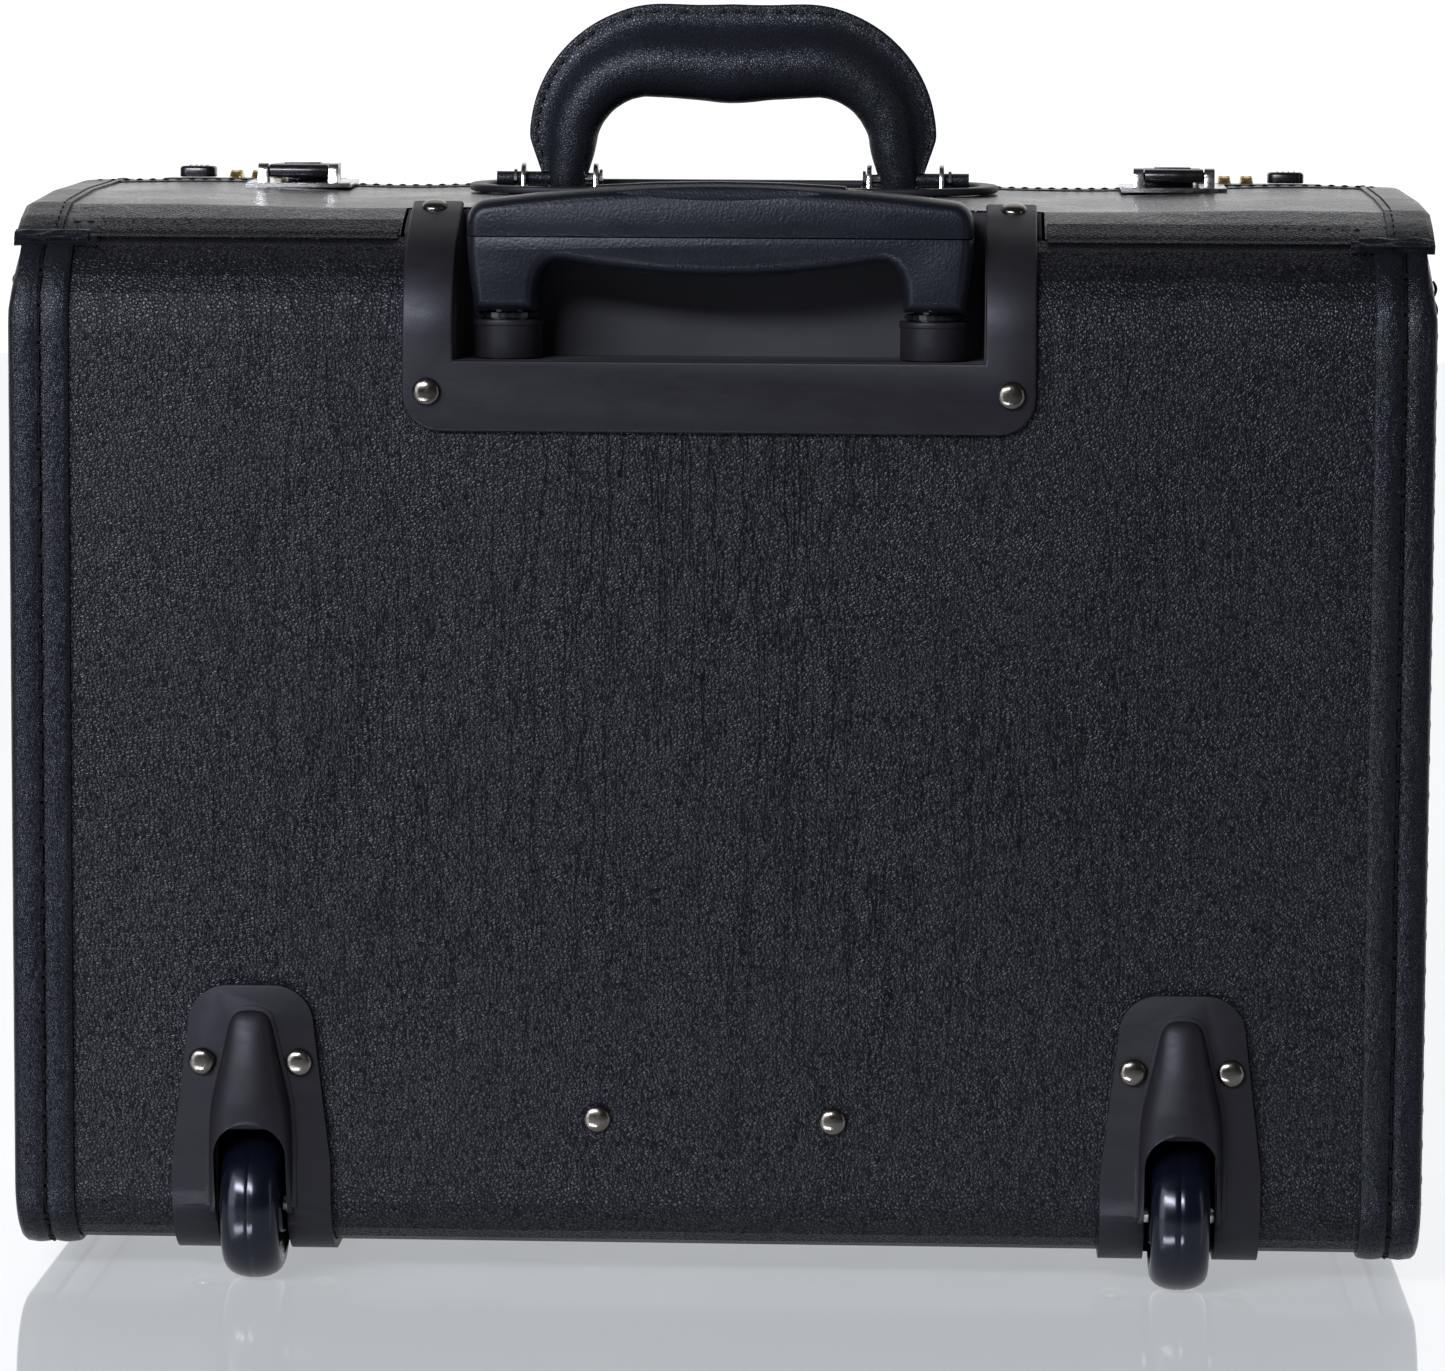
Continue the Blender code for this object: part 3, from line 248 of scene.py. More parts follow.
def leather(name, dark, light, rough, grain=820.0, *, grain_depth, crease_depth=0.0,
            wrinkle_depth=0.0, specular=0.36, seam=False):
    """Leatherette: pebble grain with painted shade in its valleys, optional upright creases that
    are also painted darker as shade, wrinkles, and an optional painted shadow along a sewn seam's
    groove.
    """
    material, tree, shader = principled(name, Specular_Tint=COOL)
    place = object_space(tree)
    pebble = pebbles(tree, place, grain)
    fine = noise_value(tree, place, grain * 1.1, 3.0)
    normal = bump(tree, maths(tree, "ADD", pebble, times(tree, fine, 0.9)), grain_depth)
    cloud = remap(tree, noise_value(tree, place, 9.0, 4.0, 0.6), 0.3, 0.7)
    colour = mix_colour(tree, cloud, dark, light)
    # painted shade: the grain's valleys are painted darker, in place of the shade that falls in
    # them
    valley_shade = remap(tree, pebble, 0.0, 0.6, 0.40, 0.0)
    colour = mix_colour(tree, valley_shade, colour, dimmed(dark, 0.45))
    shine = remap(tree, pebble, 0.0, 0.9, 0.24 * specular, 1.20 * specular)
    shine = times(tree, shine, remap(tree, fine, 0.3, 0.7, 0.6, 1.3))
    if crease_depth:
        normal, crease = add_creases(tree, crease_depth, normal)
        # painted shade: the creases are also painted darker, in place of the shade in their folds
        colour = mix_colour(tree, remap(tree, crease, 0.0, 1.0, 0.30, 0.0), colour,
                            dimmed(dark, 0.4))
        shine = times(tree, shine, remap(tree, crease, 0.0, 1.0, 0.55, 1.0))
    if wrinkle_depth:
        ripple = noise_value(tree, object_space(tree, (1.0, 1.0, 0.45)), 130.0, 4.0, 0.6, 0.6)
        normal = bump(tree, ripple, wrinkle_depth, 1.0, normal)
    if seam:
        # painted shadow: a near-black line along the seam, in place of the shade in the stitched
        # groove
        groove_shadow = seam_line(tree)
        shine = times(tree, shine, groove_shadow)
        colour = mix_colour(tree, groove_shadow, (0.0008, 0.0008, 0.0012), colour)
    gloss = remap(tree, noise_value(tree, place, 32.0, 3.0), 0.3, 0.7, rough - 0.05, rough + 0.06)
    join(tree, shader, Specular_IOR_Level=shine, Base_Color=colour, Roughness=gloss, Normal=normal)
    return material


def seam_line(tree):
    """0 in the shadow of a binding's stitched groove, 1 elsewhere."""
    place = object_space(tree)
    across = node(tree, "ShaderNodeSeparateXYZ", {"Vector": place}).outputs["X"]
    off = maths(tree, "SUBTRACT", maths(tree, "ABSOLUTE", across), SEAM_X)
    sway = maths(tree, "SUBTRACT", noise_value(tree, place, 120.0), 0.5)
    away = maths(tree, "ABSOLUTE", maths(tree, "ADD", off, times(tree, sway, 0.0012)))
    return remap(tree, away, 0.0003, 0.0010, smooth=True)


def upright_line(tree, squeeze, width, *facts):
    """0 along thin upright veins of a stretched noise, 1 between them."""
    veins = noise_value(tree, object_space(tree, (1.0, 1.0, squeeze)), *facts)
    off = maths(tree, "ABSOLUTE", maths(tree, "SUBTRACT", veins, 0.5))
    return remap(tree, off, 0.0, width, smooth=True)


def add_creases(tree, depth, before):
    """Thin upright creases, broken up and strongest under the trolley; returns normal, line."""
    long_line = upright_line(tree, 0.13, 0.035, 120.0, 3.0, 0.55, 0.35)
    short_line = upright_line(tree, 0.28, 0.05, 260.0, 2.0, 0.5, 0.4)
    lines = times(tree, long_line, maths(tree, "ADD", times(tree, short_line, 0.4), 0.6))
    patches = noise_value(tree, object_space(tree, (1.0, 1.0, 0.55)), 13.0, 2.0)
    parts = node(tree, "ShaderNodeSeparateXYZ", {"Vector": object_space(tree)}).outputs
    centre_x = maths(tree, "ABSOLUTE", parts["X"])
    area = times(tree, remap(tree, centre_x, 0.04, 0.20, 1.0, 0.40),
                 remap(tree, parts["Z"], 0.03, 0.17, 0.40, 1.0))
    smooth_area = maths(tree, "SUBTRACT", 1.0, times(tree, remap(tree, patches, 0.34, 0.54), area))
    faded = maths(tree, "MAXIMUM", lines, smooth_area)
    return bump(tree, faded, depth, 1.0, before), faded


def moulded(name, colour, rough, texture=1800.0, depth=0.00003, specular=0.45):
    """Moulded plastic with a fine spark-eroded texture and faint scuffs."""
    material, tree, shader = principled(name, Specular_IOR_Level=specular, Specular_Tint=COOL)
    place = object_space(tree)
    normal = bump(tree, noise_value(tree, place, texture, 2.0, 0.6), depth)
    normal = bump(tree, noise_value(tree, place, 28.0, 2.0), 0.00035, 0.6, normal)
    cloud = remap(tree, noise_value(tree, place, 16.0, 4.0, 0.6), 0.3, 0.7)
    scuff = noise_value(tree, object_space(tree, (1.0, 1.0, 3.5)), 70.0, 5.0, 0.7)
    join(tree, shader, Base_Color=mix_colour(tree, cloud, dimmed(colour, 0.78), colour),
         Roughness=remap(tree, scuff, 0.35, 0.7, rough + 0.05, rough - 0.07), Normal=normal)
    return material


def metal(name, colour, rough, metallic=1.0, brushed=(1.0, 1.0, 1.0)):
    """Plated metal with faint tarnish and brushing."""
    material, tree, shader = principled(name, Metallic=metallic)
    place = object_space(tree, brushed)
    cloud = remap(tree, noise_value(tree, place, 160.0, 4.0, 0.6), 0.35, 0.65)
    tarnish = noise_value(tree, place, 420.0, 3.0)
    join(tree, shader, Base_Color=mix_colour(tree, cloud, dimmed(colour, 0.7), colour),
         Roughness=remap(tree, tarnish, 0.3, 0.7, rough - 0.05, rough + 0.08),
         Normal=bump(tree, noise_value(tree, place, 900.0, 2.0), 0.00002))
    return material


def make_materials():
    """Every look used on the case, by slot or by piece."""
    looks = {
        "covering": leather("covering_look", (0.0046, 0.0048, 0.0068), (0.0068, 0.0070, 0.0092),
                            0.36, grain_depth=0.00011, crease_depth=0.00018,
                            specular=0.42),
        "lid": leather("lid_look", (0.0050, 0.0055, 0.0080), (0.0085, 0.0090, 0.0120), 0.24,
                       grain_depth=0.00007, wrinkle_depth=0.0006, specular=0.50),
        "binding": leather("binding_look", (0.0055, 0.0060, 0.0088), (0.0090, 0.0098, 0.0138),
                           0.30, grain=1300.0, grain_depth=0.00005, wrinkle_depth=0.0006),
        "seamed": leather("seamed_look", (0.0050, 0.0056, 0.0085), (0.0085, 0.0095, 0.0135),
                          0.30, grain=1300.0, grain_depth=0.00005, wrinkle_depth=0.0008,
                          seam=True),
        "handle": leather("handle_look", (0.0072, 0.0082, 0.0122), (0.0115, 0.0130, 0.0180),
                          0.34, grain=1100.0, grain_depth=0.00006, wrinkle_depth=0.00035,
                          specular=0.42),
        "lining": leather("lining_look", (0.0100, 0.0100, 0.0120), (0.0140, 0.0140, 0.0165),
                          0.60, grain=900.0, grain_depth=0.00012, specular=0.25),
        "trim_plastic": moulded("trim_look", (0.0105, 0.0102, 0.0132), 0.44, specular=0.26),
        "grip_plastic": moulded("grip_look", (0.0050, 0.0060, 0.0100), 0.38, 1100.0, 0.00014,
                                0.27),
        "tube_metal": metal("tube_look", (0.030, 0.031, 0.036), 0.24, 0.7, (1.0, 1.0, 0.05)),
        "rivet_metal": metal("rivet_look", (0.21, 0.195, 0.18), 0.20),
        "steel": metal("steel_look", (0.62, 0.62, 0.64), 0.18),
        "lock_metal": metal("lock_look", (0.055, 0.055, 0.062), 0.26, 0.9),
        "brass": metal("brass_look", (0.66, 0.48, 0.20), 0.28),
        "tyre": moulded("tyre_look", (0.0022, 0.0030, 0.0075), 0.20, 300.0, 0.00002, 0.5),
        "foot_rubber": moulded("foot_look", (0.0150, 0.0150, 0.0155), 0.80, 1500.0, 0.00010),
        "thread": leather("thread_look", (0.0012, 0.0012, 0.0018), (0.0030, 0.0030, 0.0040),
                          0.60, grain=3000.0, grain_depth=0.00005, specular=0.25),
        "handle_thread": leather("handle_thread_look", (0.0100, 0.0110, 0.0150),
                                 (0.0160, 0.0170, 0.0220), 0.5, grain=3000.0,
                                 grain_depth=0.00005, specular=0.35),
        "tray": moulded("tray_look", (0.0400, 0.0405, 0.0480), 0.75, specular=0.08),
    }
    looks["board"] = looks["lining"]
    return looks


LOOKS = make_materials()


# ---- mesh helpers ----
SMOOTH_ANGLE = 38.0       # faces that meet at less than this are shaded as one
AXIS_R = 0.00001          # radius of a turned profile's ends on its axis


def add_mesh(name, points, faces, look, smooth=SMOOTH_ANGLE):
    """One mesh object with outward normals and its look."""
    mesh = bpy.data.meshes.new(name)
    mesh.from_pydata([tuple(point) for point in points], [], faces)
    work = bmesh.new()
    work.from_mesh(mesh)
    bmesh.ops.recalc_face_normals(work, faces=work.faces)
    work.to_mesh(mesh)
    work.free()
    mesh.shade_smooth()
    mesh.set_sharp_from_angle(angle=math.radians(smooth))
    if look:
        mesh.materials.append(LOOKS[look])
    made = bpy.data.objects.new(name, mesh)
    bpy.context.scene.collection.objects.link(made)
    return made


def clamp(value):
    """Value held between 0 and 1."""
    return min(max(value, 0.0), 1.0)


def settle(piece, body, slot, *nodes):
    """Tie a finished piece to its body and hide the nodes that it stands for; slot is not used."""
    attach(piece, body)
    if nodes:
        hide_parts(*nodes)
    return piece


def add_piece(name, shape, look, body, slot, *nodes):
    """One finished mesh piece, tied to its body."""
    return settle(add_mesh(name, *shape, look), body, slot, *nodes)


def bake(piece):
    """Replace an object's mesh by its evaluated mesh and drop the modifiers."""
    bpy.context.view_layer.update()
    graph = bpy.context.evaluated_depsgraph_get()
    mesh = bpy.data.meshes.new_from_object(piece.evaluated_get(graph))
    piece.modifiers.clear()
    piece.data = mesh
    return piece


def trim(piece, *tools):
    """Boolean steps given as (shape, operation), applied in order; the tools are removed."""
    made = []
    for number, (shape, operation) in enumerate(tools):
        tool = add_mesh("tool_%d" % number, *shape, None)
        step = piece.modifiers.new("step", "BOOLEAN")
        step.operation = operation
        step.solver = "EXACT"
        step.object = tool
        made.append(tool)
    bake(piece)
    for tool in made:
        bpy.data.objects.remove(tool, do_unlink=True)
    return piece


def soften(piece, width, segments, angle=32.0):
    """Round the sharp edges of a hard piece."""
    work = bmesh.new()
    work.from_mesh(piece.data)
    bmesh.ops.remove_doubles(work, verts=work.verts, dist=1e-6)
    bmesh.ops.dissolve_limit(work, angle_limit=math.radians(1.0), verts=work.verts,
                             edges=work.edges)
    work.to_mesh(piece.data)
    work.free()
    step = piece.modifiers.new("edges", "BEVEL")
    step.width = width
    step.segments = segments
    step.limit_method = "ANGLE"
    step.angle_limit = math.radians(angle)
    bake(piece)
    piece.data.shade_smooth()
    piece.data.set_sharp_from_angle(angle=math.radians(SMOOTH_ANGLE))
    return piece


def refined(name, look, slot, width, segments):
    """A rounded copy of a hard CAD node, standing in for it."""
    piece = bpy.data.objects.new("fine_" + name, frame["nodes"][name].data.copy())
    bpy.context.scene.collection.objects.link(piece)
    soften(piece, width, segments)
    piece.data.materials.clear()
    piece.data.materials.append(LOOKS[look])
    return settle(piece, BODY_OF[name], slot, name)


def arc(centre, radius, start, end, steps):
    """Points along an arc, angles in degrees."""
    points = []
    for index in range(steps + 1):
        angle = math.radians(start + (end - start) * index / steps)
        points.append((centre[0] + radius * math.cos(angle),
                       centre[1] + radius * math.sin(angle)))
    return points


def skin(rings, loop=False):
    """Points and faces of a tube of equal rings."""
    size = len(rings[0])
    points = [point for ring in rings for point in ring]
    faces = []
    levels = len(rings) if loop else len(rings) - 1
    for level in range(levels):
        base = level * size
        top = ((level + 1) % len(rings)) * size
        for index in range(size):
            follow = (index + 1) % size
            faces.append((base + index, base + follow, top + follow, top + index))
    if not loop:
        faces.append(tuple(range(size)))
        faces.append(tuple(range((len(rings) - 1) * size, len(rings) * size)))
    return points, faces


def prism_y(outline, y0, y1):
    """Outline in XZ, extruded along Y."""
    return skin([[(x, y, z) for x, z in outline] for y in (y0, y1)])


def block(half, z0, z1, y0, y1):
    """Box across the middle of the case."""
    return prism_y([(-half, z0), (half, z0), (half, z1), (-half, z1)], y0, y1)


def prism_z(outline, z0, z1):
    """Outline in XY, extruded along Z."""
    return skin([[(x, y, z) for x, y in outline] for z in (z0, z1)])


def prism_x(outline, x0, x1):
    """Outline in YZ, extruded along X."""
    return skin([[(x, y, z) for y, z in outline] for x in (x0, x1)])


def turned(profile, segments, place, axis):
    """Turn a closed (radius, height) profile about an axis through place."""
    turn = Vector((0.0, 0.0, 1.0)).rotation_difference(Vector(axis))
    rings = []
    for index in range(segments):
        angle = 2.0 * math.pi * index / segments
        rings.append([Vector(place) + turn @ Vector((radius * math.cos(angle),
                                                     radius * math.sin(angle), height))
                      for radius, height in profile])
    return skin(rings, loop=True)


def rod(radius, low, high, segments, place, axis):
    """Solid cylinder from low to high along an axis through place."""
    profile = [(AXIS_R, low), (radius, low), (radius, high), (AXIS_R, high)]
    return turned(profile, segments, place, axis)


def rounded_outline(u0, u1, v0, v1, radius, steps):
    """Anticlockwise rectangle with four round corners."""
    return (arc((u1 - radius, v0 + radius), radius, -90.0, 0.0, steps)
            + arc((u1 - radius, v1 - radius), radius, 0.0, 90.0, steps)
            + arc((u0 + radius, v1 - radius), radius, 90.0, 180.0, steps)
            + arc((u0 + radius, v0 + radius), radius, 180.0, 270.0, steps))


def merge(shapes):
    """Join several (points, faces) shapes into one."""
    points = []
    faces = []
    for some_points, some_faces in shapes:
        base = len(points)
        points.extend(some_points)
        faces.extend(tuple(index + base for index in face) for face in some_faces)
    return points, faces


def smooth_curve(points, count):
    """Points spaced evenly in parameter on a smooth curve through the given ones."""
    made = []
    last = len(points) - 1
    for index in range(count):
        place = last * index / (count - 1)
        low = min(int(place), last - 1)
        share = place - low
        p0 = Vector(points[max(low - 1, 0)])
        p1 = Vector(points[low])
        p2 = Vector(points[low + 1])
        p3 = Vector(points[min(low + 2, last)])
        made.append(0.5 * (2.0 * p1 + (p2 - p0) * share
                           + (2.0 * p0 - 5.0 * p1 + 4.0 * p2 - p3) * share ** 2
                           + (3.0 * p1 - p0 - 3.0 * p2 + p3) * share ** 3))
    return made


def thread(start, end, lift, radius):
    """One stitch: a short thread that dips into the leather at both ends."""
    along = (end - start).normalized()
    across = along.cross(lift).normalized()
    rings = []
    for index in range(THREAD_STEPS + 1):
        share = index / THREAD_STEPS
        arch = math.sin(math.pi * share)
        size = radius * (0.55 + 0.45 * arch)
        centre = start.lerp(end, share) + lift * (radius * (1.1 * arch - 0.5))
        angles = [2.0 * math.pi * k / THREAD_SIDES for k in range(THREAD_SIDES)]
        rings.append([centre + across * (size * math.cos(angle)) + lift * (size * math.sin(angle))
                      for angle in angles])
    return skin(rings)


# ---- shell section ----
def on_arc(centre, radius, degrees):
    """Point on an arc with its outward normal."""
    angle = math.radians(degrees)
    return (centre[0] + radius * math.cos(angle), centre[1] + radius * math.sin(angle),
            math.cos(angle), math.sin(angle))


def shell_stations(top_angle, spacing):
    """Points on the shell's outer section with outward normals and running length."""
    shoulder = (BACK_Y + SHOULDER_R, SHOULDER_Z)
    low = UNDER_Z + CORNER_R
    pieces = [("arc", shoulder, SHOULDER_R, 180.0 - top_angle, 180.0),
              ("line", (BACK_Y, SHOULDER_Z), (BACK_Y, low), (-1.0, 0.0)),
              ("arc", (BACK_Y + CORNER_R, low), CORNER_R, 180.0, 270.0),
              ("line", (BACK_Y + CORNER_R, UNDER_Z), (FRONT_Y - CORNER_R, UNDER_Z), (0.0, -1.0)),
              ("arc", (FRONT_Y - CORNER_R, low), CORNER_R, 270.0, 360.0),
              ("line", (FRONT_Y, low), (FRONT_Y, SHOULDER_Z), (1.0, 0.0)),
              ("arc", (FRONT_Y - SHOULDER_R, SHOULDER_Z), SHOULDER_R, 0.0, top_angle)]
    stations = []
    for kind, *facts in pieces:
        if kind == "line":
            start, end, normal = facts
            length = math.dist(start, end)
            count = max(2, round(length / spacing))
            found = [(start[0] + (end[0] - start[0]) * k / count,
                      start[1] + (end[1] - start[1]) * k / count, *normal)
                     for k in range(count)]
        else:
            centre, radius, first, last = facts
            count = max(4, round(radius * math.radians(abs(last - first)) / spacing))
            found = [on_arc(centre, radius, first + (last - first) * k / count)
                     for k in range(count)]
        stations.extend(found)
    centre, radius, _, last = pieces[-1][1:]
    stations.append(on_arc(centre, radius, last))
    running = [0.0]
    for before, after in zip(stations, stations[1:]):
        running.append(running[-1] + math.dist(before[:2], after[:2]))
    return stations, running


def at_length(stations, running, length):
    """Station at a running length, by interpolation."""
    for index in range(len(running) - 1):
        if running[index + 1] >= length:
            span = running[index + 1] - running[index]
            share = (length - running[index]) / span
            return [a + (b - a) * share for a, b in zip(stations[index], stations[index + 1])]
    return list(stations[-1])


# ---- edge bindings ----
def binding_section():
    """(across, inset, groove) along the outside of a binding: back leg, corner, side leg."""
    rise = BINDING_RISE
    section = [(BINDING_INNER, -GAP, 0.0), (BINDING_INNER + 0.0001, -0.0013, 0.0),
               (BINDING_INNER + 0.0008, -0.0018, 0.0)]
    for index in range(1, 15):
        x = BINDING_INNER + 0.0008 + index * 0.00115
        groove = math.exp(-((x - SEAM_X) / 0.0009) ** 2)
        swell = 0.0004 * math.exp(-((abs(x - SEAM_X) - 0.0045) / 0.0025) ** 2)
        section.append((x, -rise + 0.0004 - swell, groove))
    section += [(BINDING_OUTER - 0.0022, -0.0019, 0.0), (BINDING_OUTER - 0.0009, -0.0008, 0.0),
                (BINDING_OUTER - 0.0002, 0.0010, 0.0)]
    section += [(BINDING_OUTER, 0.0026 + index * 0.00160, 0.0) for index in range(9)]
    section += [(BINDING_OUTER - 0.0008, BINDING_DEPTH + 0.0001, 0.0),
                (PANEL_OUTER + 0.0004, BINDING_DEPTH, 0.0), (PANEL_OUTER + GAP, -GAP, 0.0)]
    return section


def make_binding(side, sign):
    """Folded strip with a stitched groove, small puckers and wrinkles."""
    stations, running = shell_stations(BINDING_END, 0.0019)
    section = binding_section()
    rings = []
    for (y, z, ny, nz), length in zip(stations, running):
        phase = math.cos(2.0 * math.pi * length / LONG_STITCH)
        narrow = 0.0026 * clamp((z - 0.318) / 0.022)
        ring = []
        for x, inset, groove in section:
            ripple = noise.noise(Vector((x * 120.0, length * 95.0, sign))) * 0.00014
            free = 1.0 if inset < 0.0145 and x > BINDING_INNER + 0.0005 else 0.0
            sink = groove * (0.00040 - 0.00024 * phase)
            out = -inset - sink + ripple * free
            across = max(x - narrow, PANEL_OUTER + GAP) if x > BINDING_OUTER - 0.003 else x
            ring.append((sign * across, y + ny * out, z + nz * out))
        rings.append(ring)
    add_piece("binding_" + side, skin(rings), "seamed", "case", "binding", "edge_binding_" + side)
    make_binding_stitches(side, sign, stations, running)


def make_binding_stitches(side, sign, stations, running):
    """Long black stitches on the back leg and, through the board, on the side leg."""
    shapes = []
    height = BINDING_RISE - 0.0004
    inset = 0.0098
    for index in range(int((running[-1] - 0.006) / LONG_STITCH)):
        first = 0.004 + index * LONG_STITCH
        a = at_length(stations, running, first)
        b = at_length(stations, running, first + LONG_THREAD)
        lean = 0.00035 * noise.noise(Vector((index * 1.7, sign, 0.0)))
        start = Vector((sign * (SEAM_X + lean), a[0] + a[2] * height, a[1] + a[3] * height))
        end = Vector((sign * (SEAM_X - lean), b[0] + b[2] * height, b[1] + b[3] * height))
        shapes.append(thread(start, end, Vector((0.0, a[2], a[3])), 0.00050))
        # dark thread-coloured discs at both ends of each stitch: partly the thread where it goes
        # in, partly painted shade of the stitch holes
        for spot, facts in ((start, a), (end, b)):
            out = Vector((0.0, facts[2], facts[3]))
            shapes.append(rod(0.00100, -0.0008, 0.00020, 8, spot, out))
        start, end = (Vector((sign * (BINDING_OUTER - 0.0001), y - ny * inset, z - nz * inset))
                      for y, z, ny, nz in (a, b))
        shapes.append(thread(start, end, Vector((sign, 0.0, 0.0)), 0.0006))
    add_piece("binding_stitches_" + side, merge(shapes), "thread", "case", "binding")


# ---- lids ----
def lid_stations(line, ears):
    """The lid's line with its folds slightly rounded: (y, z, ny, nz, ear, running length)."""
    spacing = 0.0030
    fold_r = 0.0035
    dense = [(*line[0], ears[0])]
    for (p, q), (ear_p, ear_q) in zip(zip(line, line[1:]), zip(ears, ears[1:])):
        count = max(2, round(math.dist(p, q) / spacing))
        for k in range(1, count + 1):
            share = k / count
            dense.append((p[0] + (q[0] - p[0]) * share, p[1] + (q[1] - p[1]) * share,
                          ear_p + (ear_q - ear_p) * share))
    reach = max(1, round(fold_r / spacing))
    stations = []
    running = 0.0
    for index, (y, z, ear) in enumerate(dense):
        before = dense[max(index - reach, 0)]
        after = dense[min(index + reach, len(dense) - 1)]
        along = Vector((after[0] - before[0], after[1] - before[1])).normalized()
        if index:
            running += math.dist(dense[index - 1][:2], (y, z))
        stations.append((y, z, -along.y, along.x, ear, running))
    return stations


def lid_wave(x, y):
    """Gentle unevenness of the covered lid boards, fading at the hems."""
    fade = clamp((y + 0.085) / 0.035) * clamp((0.098 - y) / 0.03)
    wave = 0.0008 * math.cos(2.0 * math.pi * (abs(x) - 0.190) / 0.150)
    return fade * (wave + 0.0003 * noise.noise(Vector((x * 22.0, y * 22.0, 3.0))))


def end_drop(x, ear):
    """How far the covering has rounded over at x, where the lid turns down into its ear."""
    share = clamp((abs(x) - FOLD_X) / FOLD_WIDTH)
    return (1.0 - math.sqrt(1.0 - share ** 2)) * min(FOLD_DROP, 0.5 * ear)


def lid_point(station, x, lift):
    """Point over the lid's top surface at a station, lifted along its normal."""
    y, z, ny, nz, ear, _ = station
    out = lid_wave(x, y) - end_drop(x, ear) + lift
    return Vector((x, y + ny * out, z + nz * out))


def lid_columns():
    """X positions across a lid, closer together at the curved ends."""
    middle = [-0.2100 + 0.0070 * k for k in range(61)]
    ends = [0.2130, 0.2160, 0.2190, 0.2215, 0.2240, 0.2260, 0.2278, 0.2290, 0.2298, 0.2303]
    return [-x for x in ends[::-1]] + middle + ends


def make_lid(name, line, ears, cutters, body):
    """Covered board with soft folds, curved ends and hanging ears."""
    columns = lid_columns()
    edge = columns[-1]
    inner = edge - EAR_THICK
    under = [inner - 0.0002] + [x for x in columns[::-1] if abs(x) < 0.2235] + [-inner + 0.0002]
    rings = []
    for station in lid_stations(line, ears):
        y, z, ny, nz, ear, _ = station
        tip = -ear - 0.0006
        low_side = [(edge, tip), (inner, tip)]
        low_side += [(x, -end_drop(x, ear) - LID_THICK) for x in under]
        low_side += [(-inner, tip), (-edge, tip)]
        rings.append([lid_point(station, x, 0.0) for x in columns]
                     + [Vector((x, y + ny * out, z + nz * out)) for x, out in low_side])
    lid = add_mesh("covered_" + name, *skin(rings), "lid")
    trim(lid, *[(shape, "DIFFERENCE") for shape in cutters])
    lid.data.shade_smooth()
    lid.data.set_sharp_from_angle(angle=math.radians(40.0))
    return settle(lid, body, "covering", name)


def strip_on_lid(name, stations, x0, x1, body, rise=0.0008):
    """Raised binding strip over part of a lid, between two x positions."""
    count = max(3, round(abs(x1 - x0) / 0.006))
    if abs(x1 - x0) < 0.03:
        count = 8
    columns = [x0 + (x1 - x0) * k / count for k in range(count + 1)]
    rings = []
    for index, station in enumerate(stations):
        edge_fall = rise * 0.5 if index in (0, len(stations) - 1) else 0.0
        ring = [lid_point(station, x, rise - edge_fall) for x in columns]
        ring += [lid_point(station, x, -0.0004) for x in columns[::-1]]
        rings.append(ring)
    add_piece(name, skin(rings), "binding", body, "binding")


def stitches_across(name, station, x0, x1, body, lift=STITCH_LIFT):
    """Row of stitches along X at one station of a lid."""
    shapes = []
    up = Vector((0.0, station[2], station[3]))
    for index in range(int(abs(x1 - x0) / SHORT_STITCH)):
        start_x = x0 + index * SHORT_STITCH
        end_x = start_x + STITCH_SHARE * SHORT_STITCH
        shapes.append(thread(lid_point(station, start_x, lift), lid_point(station, end_x, lift),
                             up, THREAD_R))
    add_piece(name, merge(shapes), "thread", body, "binding")


def stitches_along(name, stations, x, body):
    """Row of stitches from hem to seam at one x of a lid."""
    shapes = []
    for index in range(int(stations[-1][5] / SHORT_STITCH) - 1):
        ends = []
        for length in (SHORT_STITCH * (index + 0.6), SHORT_STITCH * (index + 1.25)):
            near = min(stations, key=lambda s, goal=length: abs(s[5] - goal))
            after = stations[min(stations.index(near) + 1, len(stations) - 1)]
            a = lid_point(near, x, STITCH_LIFT)
            b = lid_point(after, x, STITCH_LIFT)
            span = max(after[5] - near[5], 1e-6)
            ends.append(a.lerp(b, (length - near[5]) / span))
        up = Vector((0.0, near[2], near[3]))
        shapes.append(thread(ends[0], ends[1], up, THREAD_R))
    add_piece(name, merge(shapes), "thread", body, "binding")


def make_lids():
    """Both lid boards: a notch and an oval in the rear one, lock windows in the front one."""
    half, radius = RING_HOLE
    notch = prism_z(rounded_outline(-NOTCH_HALF, NOTCH_HALF, -0.13, NOTCH_Y, 0.0020, 4),
                    *LID_CUT)
    oval = prism_z(rounded_outline(-half, half, RING_Y - radius, RING_Y + radius,
                                   radius - 0.0001, 16), *LID_CUT)
    make_lid("rear_lid", REAR_LINE, REAR_EARS, [notch, oval], "rear_lid_body")
    windows = []
    for sign in SIDES.values():
        x0, x1 = sorted(sign * x for x in WINDOW_X)
        outline = [(x0, WINDOW_Y[0]), (x1, WINDOW_Y[0]), (x1, WINDOW_Y[1]), (x0, WINDOW_Y[1])]
        windows.append(prism_z(outline, *WINDOW_CUT))
    make_lid("front_lid", FRONT_LINE, FRONT_EARS, windows, "front_lid_body")


